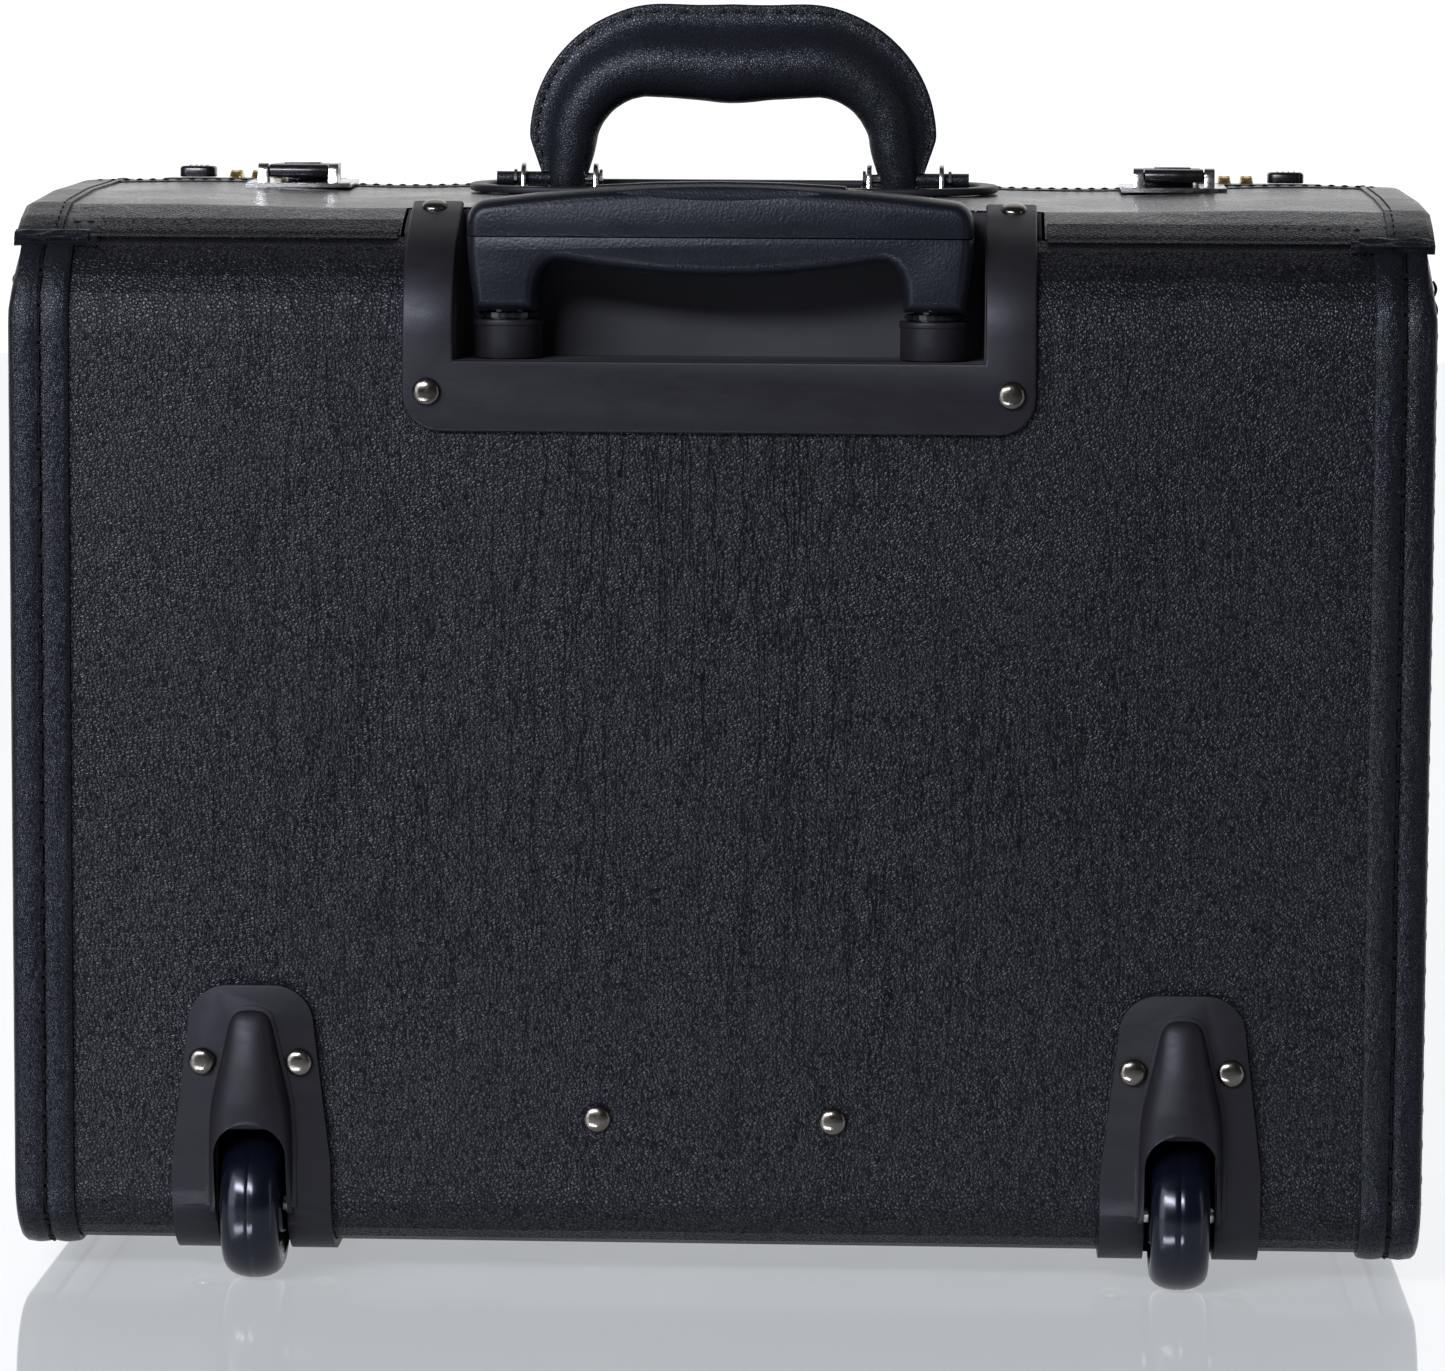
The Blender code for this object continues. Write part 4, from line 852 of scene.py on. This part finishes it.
def bind_lids():
    """Bound and sewn edges of both lids."""
    rear = lid_stations(REAR_LINE, REAR_EARS)
    front = lid_stations(FRONT_LINE, FRONT_EARS)
    far = [s for s in rear if s[0] > SEAM_Y - 0.0085]
    strip_on_lid("rear_lid_edge", far, -EDGE_HALF, EDGE_HALF, "rear_lid_body")
    stitches_across("rear_lid_edge_stitches", far[1], -EDGE_STITCH_HALF, EDGE_STITCH_HALF,
                    "rear_lid_body")
    near = [s for s in front if s[0] < SEAM_Y + 0.0062]
    strip_on_lid("front_lid_edge", near, -EDGE_HALF, EDGE_HALF, "front_lid_body", 0.0005)
    hem = [s for s in rear if s[0] < HEM_STRIP_Y]
    for side, sign in SIDES.items():
        for lid_name, stations in (("rear_lid", rear), ("front_lid", front)):
            x0, x1 = sorted((sign * END_STRIP, sign * BINDING_OUTER))
            body = lid_name + "_body"
            strip_on_lid("%s_end_%s" % (lid_name, side), stations, x0, x1, body)
            stitches_along("%s_end_stitches_%s" % (lid_name, side), stations,
                           sign * END_STITCH, body)
        x0, x1 = sorted((sign * (NOTCH_HALF + 0.0006), sign * 0.2145))
        strip_on_lid("rear_lid_hem_" + side, hem, x0, x1, "rear_lid_body", 0.0006)
        stitches_across("rear_lid_hem_stitches_" + side, hem[-1], x0 + 0.002, x1 - 0.002,
                        "rear_lid_body", 0.0002)


# ---- trolley ----
GRIP_HALF = 0.0815
GRIP_REAR = -0.1070
GRIP_FRONT = -0.0770
GRIP_SEAM = 0.3427
GRIP_CROWN = 0.3597
LEG_BOTTOM = 0.3190
TUBE_X = 0.0690
TUBE_Y = -0.0900
SEAM_GAP = 0.00022        # half of the line between the grip's halves
CROWN_HALF = 0.0740       # the crown is an arch this wide, then turns down
CROWN_DROP = 0.0050
CROWN_R = 0.0075
ARCH_HALF = 0.0500
ARCH_TOP = 0.3300
SOCKET_R = 0.0073
SCOOP_HALF = 0.0410


def grip_half_outline():
    """Half of the grip's front view, from the crown round the leg to the arch's middle."""
    crown = [(x, GRIP_CROWN - CROWN_DROP * (x / CROWN_HALF) ** 2) for x in
             [CROWN_HALF * k / 10 for k in range(11)]]
    shoulder = arc((CROWN_HALF, GRIP_CROWN - CROWN_DROP - CROWN_R), CROWN_R, 80.0, 0.0, 8)
    leg = [(GRIP_HALF, 0.3440), (0.0814, 0.3380), (0.0806, 0.3300), (0.0794, 0.3230),
           (0.0790, LEG_BOTTOM), (0.0590, LEG_BOTTOM)]
    inner = [(0.0588, 0.3240), (0.0583, 0.3285), (0.0573, 0.3316), (0.0556, 0.3336),
             (0.0532, 0.3346)]
    arch = [(x, ARCH_TOP + 0.0046 * (x / ARCH_HALF) ** 2) for x in
            [ARCH_HALF - ARCH_HALF * k / 8 for k in range(9)]]
    return crown + shoulder[1:] + leg + inner + arch


def inset_outline(outline, distance):
    """Shrink a closed anticlockwise outline by distance along its vertex normals."""
    count = len(outline)
    shrunk = []
    for index, point in enumerate(outline):
        here = Vector(point)
        first = here - Vector(outline[index - 1])
        last = Vector(outline[(index + 1) % count]) - here
        a = Vector((-first.y, first.x)).normalized()
        b = Vector((-last.y, last.x)).normalized()
        mitre = (a + b).normalized()
        shrunk.append(here + mitre * (distance / max(mitre.dot(a), 0.5)))
    return shrunk


def make_grip_shape():
    """Whole grip, rounded front and rear."""
    right = grip_half_outline()
    outline = right[::-1] + [(-x, z) for x, z in right[1:-1]]
    depth = GRIP_FRONT - GRIP_REAR
    rounding = 0.0065
    steps = 7
    rear = []
    for index in range(steps + 1):
        angle = math.pi / 2.0 * index / steps
        rear.append((GRIP_REAR + rounding * (1.0 - math.sin(angle)),
                     rounding * (1.0 - math.cos(angle)) * 0.62))
    rear.sort()
    front = [(GRIP_REAR + depth - (y - GRIP_REAR), inset) for y, inset in rear[::-1]]
    return skin([[(p.x, y, p.y) for p in inset_outline(outline, inset)]
                 for y, inset in rear + front])


def make_grip():
    """Both halves of the grip, with a scoop, tube sockets and a pocket for the press bar."""
    shape = make_grip_shape()
    below = block(0.13, 0.28, GRIP_SEAM + SEAM_GAP, -0.15, -0.03)
    above = block(0.13, GRIP_SEAM - SEAM_GAP, 0.40, -0.15, -0.03)
    pocket = block(0.0409, 0.3490, 0.38, -0.0993, -0.0857)
    upper = add_mesh("moulded_grip_upper", *shape, "grip_plastic")
    trim(upper, (below, "DIFFERENCE"), (pocket, "DIFFERENCE"), (scoop_shape(), "DIFFERENCE"))
    soften(upper, 0.0005, 2)
    settle(upper, "grip_stage", "grip_plastic", "grip_upper")
    lower = add_mesh("moulded_grip_lower", *shape, "grip_plastic")
    sockets = [(rod(SOCKET_R, 0.0, 0.032, 32, (sign * TUBE_X, TUBE_Y, 0.300), (0, 0, 1)),
                "DIFFERENCE") for sign in SIDES.values()]
    trim(lower, (above, "DIFFERENCE"), *sockets)
    soften(lower, 0.0004, 2)
    settle(lower, "grip_stage", "grip_plastic", "grip_lower")
    refined("release_button", "grip_plastic", "grip_plastic", 0.0009, 3)


def scoop_shape():
    """Shallow lens-shaped dish on the grip's rear face, below the press bar."""
    rings = []
    for index in range(25):
        x = -SCOOP_HALF + 2.0 * SCOOP_HALF * index / 24
        share = 1.0 - (x / SCOOP_HALF) ** 2
        low = 0.3580 - 0.0034 * share
        depth = 0.0001 + 0.0006 * share
        rings.append([(x, GRIP_REAR - 0.004, 0.3610), (x, GRIP_REAR - 0.004, low),
                      (x, GRIP_REAR + 0.0012, low), (x, GRIP_REAR + 0.0012 + depth, low + 0.0022),
                      (x, GRIP_REAR + 0.0030 + depth, 0.3610)])
    return skin(rings)


# ---- wheels and housings ----
def make_wheel(side, sign):
    """Glossy solid wheel with a parting line round the tread and a stepped hub."""
    half = [(0.0034, 0.0100), (0.0092, 0.0100), (0.0098, 0.0094), (0.0101, 0.0086),
            (0.0172, 0.0086), (0.0178, 0.0090), (0.0190, 0.0096), (0.0205, 0.0094),
            (0.0220, 0.0086), (0.0232, 0.0073), (0.0240, 0.0058), (0.0246, 0.0040),
            (0.0249, 0.0020), (0.0250, 0.0004), (0.02485, 0.0001)]
    profile = half + [(radius, -height) for radius, height in half[::-1]]
    place = (sign * WHEEL_X, WHEEL_Y, WHEEL_R)
    add_piece("glossy_wheel_" + side, turned(profile, 72, place, (1, 0, 0)), "tyre",
              "wheel_%s_body" % side, "tyre", "wheel_" + side)


def housing_plate(centre):
    """Plate of a wheel housing as a strip that follows the shell."""
    lines = []
    for offset in (GAP, GAP + HOUSING_THICK):
        line = [(BACK_Y - offset, HOUSING_TOP + 0.01)]
        line += arc((BACK_Y + CORNER_R, UNDER_Z + CORNER_R), CORNER_R + offset, 180.0, 270.0, 18)
        line.append((-0.0640, UNDER_Z - offset))
        lines.append(line)
    return prism_x(lines[0] + lines[1][::-1], centre - 0.04, centre + 0.04)


def housing_outline(centre):
    """Front view of the plate with its round top."""
    left, right = centre - HOUSING_HALF, centre + HOUSING_HALF
    corner_z = HOUSING_TOP - HOUSING_R
    outline = [(left, 0.0), (right, 0.0), (right, 0.0400)]
    outline += arc((centre + 0.0075, corner_z), HOUSING_R, 0.0, 90.0, 14)
    outline += arc((centre - 0.0075, corner_z), HOUSING_R, 90.0, 180.0, 14)
    return outline + [(left, 0.0400)]


def hood(centre):
    """Hood over the wheel, lofted from half-round sections on a smooth profile."""
    shape = [(0.0909, 0.0016, 0.0008), (0.0904, 0.0040, 0.0018), (0.0890, 0.0057, 0.0030),
             (0.0866, 0.0069, 0.0042), (0.0820, 0.0080, 0.0057), (0.0740, 0.0097, 0.0078),
             (0.0660, 0.0117, 0.0092), (0.0590, 0.0130, 0.0101), (0.0480, 0.0136, 0.0094),
             (0.0360, 0.0136, 0.0060), (0.0240, 0.0136, 0.0006)]
    rings = []
    for height, half, reach in smooth_curve(shape, 56):
        ring = [(centre + half, HOUSING_FACE + 0.0015, height)]
        for index in range(25):
            angle = math.pi * index / 24
            bulge = max(math.sin(angle), 0.0) ** 0.75
            ring.append((centre + half * math.cos(angle),
                         HOUSING_FACE - max(reach, 0.0002) * bulge - 0.0001, height))
        ring.append((centre - half, HOUSING_FACE + 0.0015, height))
        rings.append(ring)
    return skin(rings)


def ridge(centre):
    """Low flat step that outlines the hood."""
    right = [(0.0148, 0.0260), (0.0148, 0.0480), (0.0142, 0.0600), (0.0129, 0.0665),
             (0.0109, 0.0745), (0.0091, 0.0820), (0.0077, 0.0875)]
    top = [(0.0077 * math.cos(math.radians(a)), 0.0875 + 0.0049 * math.sin(math.radians(a)))
           for a in range(12, 90, 12)]
    half = right + top
    outline = half + [(0.0, 0.0924)] + [(-x, z) for x, z in half[::-1]]
    return prism_y([(centre + x, z) for x, z in outline], HOUSING_FACE - 0.0006,
                   HOUSING_FACE + 0.0015)


def well_section():
    """Side view of the well: square inside the case, round where it follows the corner."""
    offset = GAP + HOUSING_THICK - 0.0002
    line = [(BACK_Y - offset, WELL_TOP)]
    line += arc((BACK_Y + CORNER_R, UNDER_Z + CORNER_R), CORNER_R + offset, 180.0, 270.0, 18)
    return line + [(WELL_FRONT, UNDER_Z - offset), (WELL_FRONT, WELL_TOP)]


def make_housing(side, sign):
    """Satin moulding: plate, ridge round the hood, hood, well and wheel opening."""
    centre = sign * WHEEL_X
    piece = add_mesh("moulded_housing_" + side, *housing_plate(centre), "trim_plastic")
    well = prism_x(well_section(), centre - WELL_HALF, centre + WELL_HALF)
    space = rod(WHEEL_SPACE_R, 0.0, 0.0230, 72, (centre - 0.0115, WHEEL_Y, WHEEL_R), (1, 0, 0))
    mouth = [(centre - MOUTH_HALF, -0.02), (centre + MOUTH_HALF, -0.02)]
    mouth += arc((centre, MOUTH_TOP - MOUTH_HALF), MOUTH_HALF, 0.0, 180.0, 28)
    bore = rod(AXLE_BORE_R, 0.0, 0.06, 24, (centre - 0.03, WHEEL_Y, WHEEL_R), (1, 0, 0))
    trim(piece, (prism_y(housing_outline(centre), -0.13, -0.05), "INTERSECT"),
         (ridge(centre), "UNION"), (hood(centre), "UNION"), (well, "UNION"),
         (space, "DIFFERENCE"), (prism_y(mouth, -0.16, -0.1040), "DIFFERENCE"),
         (bore, "DIFFERENCE"))
    soften(piece, 0.0006, 2, 40.0)
    settle(piece, "case", "trim_plastic", "wheel_housing_" + side)


# ---- rivets ----
def rivet_shape(place, axis, radius):
    """Domed head that stands on a thin shadow gap."""
    profile = [(AXIS_R, 0.0), (radius - 0.0004, 0.0), (radius - 0.0004, 0.0003),
               (radius, 0.0005), (radius, 0.0007)]
    for index in range(1, 11):
        angle = math.radians(90.0 * index / 10)
        profile.append((max(radius * math.cos(angle) ** 0.8, AXIS_R),
                        0.0007 + 0.0019 * math.sin(angle)))
    return turned(profile, 48, place, axis)


def add_rivet(name, place, axis, radius, *nodes):
    """One rivet head on the case."""
    add_piece(name, rivet_shape(place, axis, radius), "rivet_metal", "case", "rivet_metal", *nodes)


def make_rivets():
    """The frame's rivets and the ones on top of the bezel's legs and under the housings."""
    for name in [n for n in frame["nodes"] if "_rivet_" in n]:
        low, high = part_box(name)
        middle = (low + high) / 2.0
        add_rivet("head_" + name, (middle.x, high.y, middle.z), (0, -1, 0), 0.0045, name)
    up = Vector((0.0, -4.0, 12.0)).normalized()
    under_z = UNDER_Z - GAP - HOUSING_THICK + 0.0001
    for side, sign in SIDES.items():
        add_rivet("bezel_top_rivet_" + side, (sign * 0.0945, -0.0715, 0.3508), up, 0.0042)
        for place, shift in (("inner", -0.0200), ("outer", 0.0200)):
            add_rivet("under_rivet_%s_%s" % (side, place),
                      (sign * WHEEL_X + sign * shift, -0.0720, under_z), (0, 0, -1), 0.0040)


# ---- carry handle ----
def handle_half():
    """Half of the handle's centre line: (x, z, tube radius, flange length)."""
    stations = [(-0.0562, 0.3546, 0.0042, 0.0004), (-0.0563, 0.3566, 0.0058, 0.0006),
                (-0.0558, 0.3620, 0.0068, 0.0030), (-0.0545, 0.3700, 0.0079, 0.0062)]
    for index in range(1, 7):
        share = index / 6
        angle = math.radians(180.0 - 90.0 * share)
        stations.append((-0.0265 + 0.0280 * math.cos(angle), 0.3700 + 0.0280 * math.sin(angle),
                         0.0079 + 0.0031 * share, 0.0062 + 0.0032 * share))
    stations += [(-0.0130, 0.3975, 0.0113, 0.0094), (0.0, 0.3968, 0.0118, 0.0098)]
    return stations


def handle_frames(count):
    """Evenly read stations with direction: centre, outward, radius, flange."""
    half = handle_half()
    whole = half + [(-x, z, r, f) for x, z, r, f in half[-2::-1]]
    read = smooth_curve(whole, count)
    frames = []
    for index, (x, z, radius, flange) in enumerate(read):
        before = read[max(index - 1, 0)]
        after = read[min(index + 1, count - 1)]
        along = Vector((after[0] - before[0], 0.0, after[1] - before[1])).normalized()
        out = Vector((-along.z, 0.0, along.x))
        frames.append((Vector((x, HANDLE_Y, z)), out, radius, max(flange, 0.0002)))
    return frames


def make_handle():
    """Leather wrapped over padding, narrowing to a sewn edge on the outside."""
    across = Vector((0.0, 1.0, 0.0))
    thin = 0.0014
    shares = [0.0, 0.10, 0.20, 0.32, 0.45, 0.60, 0.72, 0.86]
    rings = []
    for number, (centre, out, radius, flange) in enumerate(handle_frames(120)):
        pucker = 0.00016 * math.sin(number * 2.0 * math.pi / 3.1)
        swell = 0.52 * radius * min(flange / 0.006, 1.0) - thin
        thick = [thin + max(swell, 0.0) * max(1.0 - share / 0.62, 0.0) ** 1.7
                 for share in shares]
        start = math.asin(thick[0] / radius)
        near = radius * math.cos(start)
        side = [(near + (radius + flange - near) * share, size + (pucker if share > 0.7 else 0.0))
                for share, size in zip(shares, thick)]
        lip = [(radius + flange - 0.0005, thin), (radius + flange, 0.6 * thin)]
        ring = [centre + out * reach + across * size for reach, size in (side + lip)[::-1]]
        for index in range(1, 26):
            angle = start + (2.0 * math.pi - 2.0 * start) * index / 26
            ripple = 1.0 + 0.012 * noise.noise(Vector((number * 0.35, angle * 1.4, 7.0)))
            size = radius * ripple
            ring.append(centre + out * (size * math.cos(angle))
                        + across * (size * math.sin(angle)))
        ring += [centre + out * reach - across * size for reach, size in side + lip]
        rings.append(ring)
    handle = add_mesh("padded_handle", *skin(rings), "handle", 60.0)
    bore = rod(0.0023, 0.0, 0.16, 20, (-0.08, HANDLE_Y, PIN_Z), (1, 0, 0))
    trim(handle, (bore, "DIFFERENCE"))
    settle(handle, "carry_handle_body", "binding", "carry_handle")
    make_handle_stitches()


def make_handle_stitches():
    """Two rows of stitches, one on each face of the flange."""
    frames = [f for f in handle_frames(400) if f[3] > 0.0042]
    line = [centre + out * (radius + flange - 0.0024) for centre, out, radius, flange in frames]
    shapes = []
    travelled = 0.0
    start = None
    for before, after in zip(line, line[1:]):
        place = travelled % SHORT_STITCH
        travelled += (after - before).length
        if start is None and place < 0.0005:
            start = after
        elif start is not None and place > STITCH_SHARE * SHORT_STITCH:
            for face in (-1.0, 1.0):
                lift = Vector((0.0, face, 0.0))
                shapes.append(thread(start + lift * 0.0016, after + lift * 0.0016, lift,
                                     0.00046))
            start = None
    add_piece("handle_stitches", merge(shapes), "handle_thread", "carry_handle_body", "binding")


# ---- locks ----
def make_dial(name):
    """Brass dial, knurled on both sides of a plain band that takes the place of numbers."""
    low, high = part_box(name)
    middle = (low + high) / 2.0
    half = (high.x - low.x) / 2.0
    radius = (high.z - low.z) / 2.0
    rings = []
    steps = 4 * DIAL_TEETH
    for index in range(steps):
        angle = 2.0 * math.pi * index / steps
        outer = radius - (0.00022 if index % 4 == 0 else 0.0)
        band = radius - 0.0001
        profile = ((-half, 0.0016), (-half, outer - 0.0005), (-half + 0.0004, outer),
                   (-0.0009, outer), (-0.0007, band), (0.0007, band), (0.0009, outer),
                   (half - 0.0004, outer), (half, outer - 0.0005), (half, 0.0016))
        rings.append([(middle.x + x, middle.y + r * math.cos(angle),
                       middle.z + r * math.sin(angle)) for x, r in profile])
    add_piece("knurled_" + name, skin(rings, loop=True), "brass", BODY_OF[name], "brass", name)


def add_button_ribs(side):
    """Four low ribs across a thumb slide."""
    low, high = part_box("lock_button_" + side)
    ribs = []
    for index in range(4):
        x = low.x + 0.0035 + index * 0.0019
        ribs.append(prism_y([(x - 0.0004, high.z - 0.0004), (x + 0.0004, high.z - 0.0004),
                             (x, high.z + 0.0004)], low.y + 0.0018, high.y - 0.0018))
    add_piece("button_ribs_" + side, merge(ribs), "lock_metal", "lock_button_%s_body" % side,
              "lock_metal")


def add_hasp_panel(side):
    """Raised panel on a hasp's tongue."""
    low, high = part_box("hasp_" + side)
    middle_x = (low.x + high.x) / 2.0
    outline = rounded_outline(middle_x - 0.0062, middle_x + 0.0062, low.y + 0.0120,
                              low.y + 0.0190, 0.0010, 4)
    panel = add_mesh("hasp_panel_" + side, *prism_z(outline, high.z - 0.0003, high.z + 0.0005),
                     "lock_metal")
    soften(panel, 0.0002, 2)
    settle(panel, "hasp_%s_body" % side, "lock_metal")


def make_locks():
    """Rounded copies of the lock pieces, the dials, and what stands on slides and hasps."""
    for side in SIDES:
        refined("hasp_plate_" + side, "steel", "lock_metal", 0.0004, 3)
        refined("hasp_" + side, "lock_metal", "lock_metal", 0.0005, 3)
        refined("lock_body_" + side, "lock_metal", "lock_metal", 0.0003, 2)
        refined("lock_button_" + side, "lock_metal", "lock_metal", 0.0004, 2)
        for number in (1, 2, 3):
            make_dial("dial_%s_%d" % (side, number))
        add_button_ribs(side)
        add_hasp_panel(side)


# ---- the rest ----
def tab_layer(sign, layer, reach, low, high):
    """One slightly curled layer of a corner tab, wrapped over the shoulder between two angles."""
    base = 0.0014 + 0.0011 * layer
    outward = [BINDING_OUTER - 0.0006 - reach * j / 12 for j in range(13)]
    rings = []
    for k in range(9):
        angle = math.radians(low + (high - low) * k / 8)
        ring = []
        for thick, columns in ((0.0, outward[::-1]), (0.0010, outward)):
            for x in columns:
                curl = 0.0008 * noise.noise(Vector((x * 160.0, k * 0.4, layer + sign)))
                radius = SHOULDER_R + base + thick + curl
                ring.append((sign * x, BACK_Y + SHOULDER_R - radius * math.cos(angle),
                             SHOULDER_Z + radius * math.sin(angle)))
        rings.append(ring)
    return skin(rings)


def make_corner_tabs():
    """Ends of the bindings, folded over the hem in two layers."""
    for side, sign in SIDES.items():
        layers = [tab_layer(sign, 0, 0.0268, 51.0, 60.0), tab_layer(sign, 1, 0.0240, 53.0, 61.0)]
        add_piece("corner_tab_" + side, merge(layers), "binding", "case", "binding")


def hinge_section(facing, line):
    """(y, z, ny, nz) from the shell's hem on to the lid's first slope."""
    centre_y = BACK_Y + SHOULDER_R if facing < 0 else FRONT_Y - SHOULDER_R
    section = []
    for k in range(5):
        angle = math.radians(61.5 + 0.8 * k)
        section.append((centre_y + facing * SHOULDER_R * math.cos(angle),
                        SHOULDER_Z + SHOULDER_R * math.sin(angle),
                        facing * math.cos(angle), math.sin(angle)))
    first, second = Vector(line[0]), Vector(line[1])
    along = (second - first).normalized()
    normal = (facing * abs(along.y), abs(along.x))
    for k in range(5):
        point = first.lerp(second, 0.05 + 0.85 * k / 4)
        section.append((point.x, point.y, *normal))
    return section


def hinge_strip(section, x0, x1):
    """Thin sheet over a section, between two x positions."""
    sheet = [(y + ny * 0.0007, z + nz * 0.0007) for y, z, ny, nz in section]
    sheet += [(y + ny * 0.0001, z + nz * 0.0001) for y, z, ny, nz in section[::-1]]
    count = round(abs(x1 - x0) / 0.008)
    return skin([[(x0 + (x1 - x0) * k / count, y, z) for y, z in sheet]
                 for k in range(count + 1)])


def make_hinge_strips():
    """Leatherette hinges that bend from the shell's hems on to the lids."""
    rear_spans = [(NOTCH_HALF + 0.0008, 0.2030), (-0.2030, -NOTCH_HALF - 0.0008)]
    hinges = (("rear", -1.0, REAR_LINE[:3], rear_spans),
              ("front", 1.0, FRONT_LINE[:1:-1], [(-0.2090, 0.2090)]))
    for name, facing, line, spans in hinges:
        section = hinge_section(facing, line)
        for number, (x0, x1) in enumerate(spans):
            strip = add_mesh("hinge_strip_%s_%d" % (name, number + 1),
                             *hinge_strip(section, x0, x1), "covering", 60.0)
            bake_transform(strip)


def dress_cad():
    """Better materials on the CAD pieces that keep their shape."""
    slots = {entry["node"]: entry["material_slot"] for entry in frame["record"]["subparts"]}
    for name, cad in frame["nodes"].items():
        for place in cad.material_slots:
            place.material = LOOKS[slots[name]]


def make_hard_trim():
    """Rounded copies of plain hard pieces."""
    refined("trolley_bezel", "trim_plastic", "trim_plastic", 0.0009, 3)
    refined("lid_ring", "trim_plastic", "trim_plastic", 0.0008, 3)
    refined("handle_well", "trim_plastic", "trim_plastic", 0.0005, 2)
    for side in SIDES:
        refined("handle_bracket_" + side, "steel", "steel", 0.0003, 2)
        refined("tube_collar_" + side, "trim_plastic", "trim_plastic", 0.0003, 2)
        refined("front_foot_" + side, "foot_rubber", "foot_rubber", 0.0006, 2)
    refined("recess_tray", "tray", "covering", 0.0006, 2)


# ---- stage ----
def make_stage():
    """Polished pale floor: half a mirror and half a soft glow, which fades well in front."""
    material, tree, shader = principled("floor_look", Base_Color=(0.25, 0.26, 0.28, 1.0),
                                        Roughness=0.6, Emission_Color=(0.93, 0.96, 1.0, 1.0))
    depth = node(tree, "ShaderNodeSeparateXYZ", {"Vector": object_space(tree)}).outputs["Y"]
    level = remap(tree, depth, -0.50, -0.27, 0.03, 0.82, smooth=True)
    tree.links.new(level, shader.inputs["Emission Strength"])
    mirror = node(tree, "ShaderNodeBsdfGlossy", {"Roughness": 0.04})
    polished = node(tree, "ShaderNodeMixShader", {0: 0.50, 1: shader.outputs[0],
                                                  2: mirror.outputs[0]})
    tree.links.new(polished.outputs[0], tree.nodes["Material Output"].inputs["Surface"])
    LOOKS["floor"] = material
    size = 6.0
    floor = add_mesh("floor", [(-size, -size, 0.0), (size, -size, 0.0), (size, size, 0.0),
                               (-size, size, 0.0)], [(0, 1, 2, 3)], "floor")


def make_world():
    """Soft white surroundings, bright on the side that the camera looks towards."""
    world = bpy.data.worlds.new("studio")
    world.use_nodes = True
    bpy.context.scene.world = world
    tree = world.node_tree
    place = node(tree, "ShaderNodeTexCoord").outputs["Generated"]
    parts = node(tree, "ShaderNodeSeparateXYZ", {"Vector": place}).outputs
    level = remap(tree, parts["Y"], 0.25, 0.85, 0.05, 1.12, smooth=True)
    backdrop = tree.nodes["Background"]
    tree.links.new(level, backdrop.inputs["Strength"])
    backdrop.inputs["Color"].default_value = (1.0, 1.0, 1.0, 1.0)


def add_light(name, place, aim, size, power, colour):
    """Rectangular soft light."""
    data = bpy.data.lights.new(name, "AREA")
    data.shape = "RECTANGLE"
    data.size, data.size_y = size
    data.energy = power
    data.color = colour
    light = bpy.data.objects.new(name, data)
    light.location = place
    way = Vector(aim) - Vector(place)
    light.rotation_mode = "QUATERNION"
    light.rotation_quaternion = way.to_track_quat("-Z", "Y")
    bpy.context.scene.collection.objects.link(light)


def make_lights():
    """Large soft key from the left, a weak fill, and a strip that lights the shoulder."""
    add_light("key", (-1.7, -1.6, 0.9), (0.0, -0.1, 0.2), (1.0, 1.8), 17.0, (0.95, 0.97, 1.0))
    add_light("fill", (2.1, -1.0, 0.6), (0.0, -0.1, 0.2), (0.4, 1.2), 1.6, (0.96, 0.98, 1.0))
    add_light("band", (-0.9, -2.1, 1.26), (0.0, -0.1, 0.3), (1.4, 0.34), 62.0, (0.96, 0.97, 1.0))


def make_camera():
    """Long lens from behind the case, slightly above it and a little to its right."""
    data = bpy.data.cameras.new("camera")
    data.sensor_width = 36.0
    data.lens = 139.6
    data.clip_start = 0.05
    data.clip_end = 40.0
    camera = bpy.data.objects.new("camera", data)
    camera.location = (0.0740, -1.9040, 0.3940)
    pitch = math.radians(6.2)
    turn = math.radians(2.3)
    way = Vector((-math.sin(turn) * math.cos(pitch), math.cos(turn) * math.cos(pitch),
                  -math.sin(pitch)))
    camera.rotation_mode = "QUATERNION"
    roll = Quaternion((0.0, 0.0, 1.0), math.radians(0.31))
    camera.rotation_quaternion = way.to_track_quat("-Z", "Y") @ roll
    bpy.context.scene.collection.objects.link(camera)
    bpy.context.scene.camera = camera


def main():
    """Dress the frame, build the finished pieces, and light the stage."""
    make_camera()
    make_stage()
    make_world()
    make_lights()
    bpy.context.scene.view_settings.view_transform = "Standard"
    dress_cad()
    for side, sign in SIDES.items():
        make_binding(side, sign)
        make_wheel(side, sign)
        make_housing(side, sign)
    make_lids()
    bind_lids()
    make_corner_tabs()
    make_hinge_strips()
    make_grip()
    make_handle()
    make_rivets()
    make_locks()
    make_hard_trim()


main()
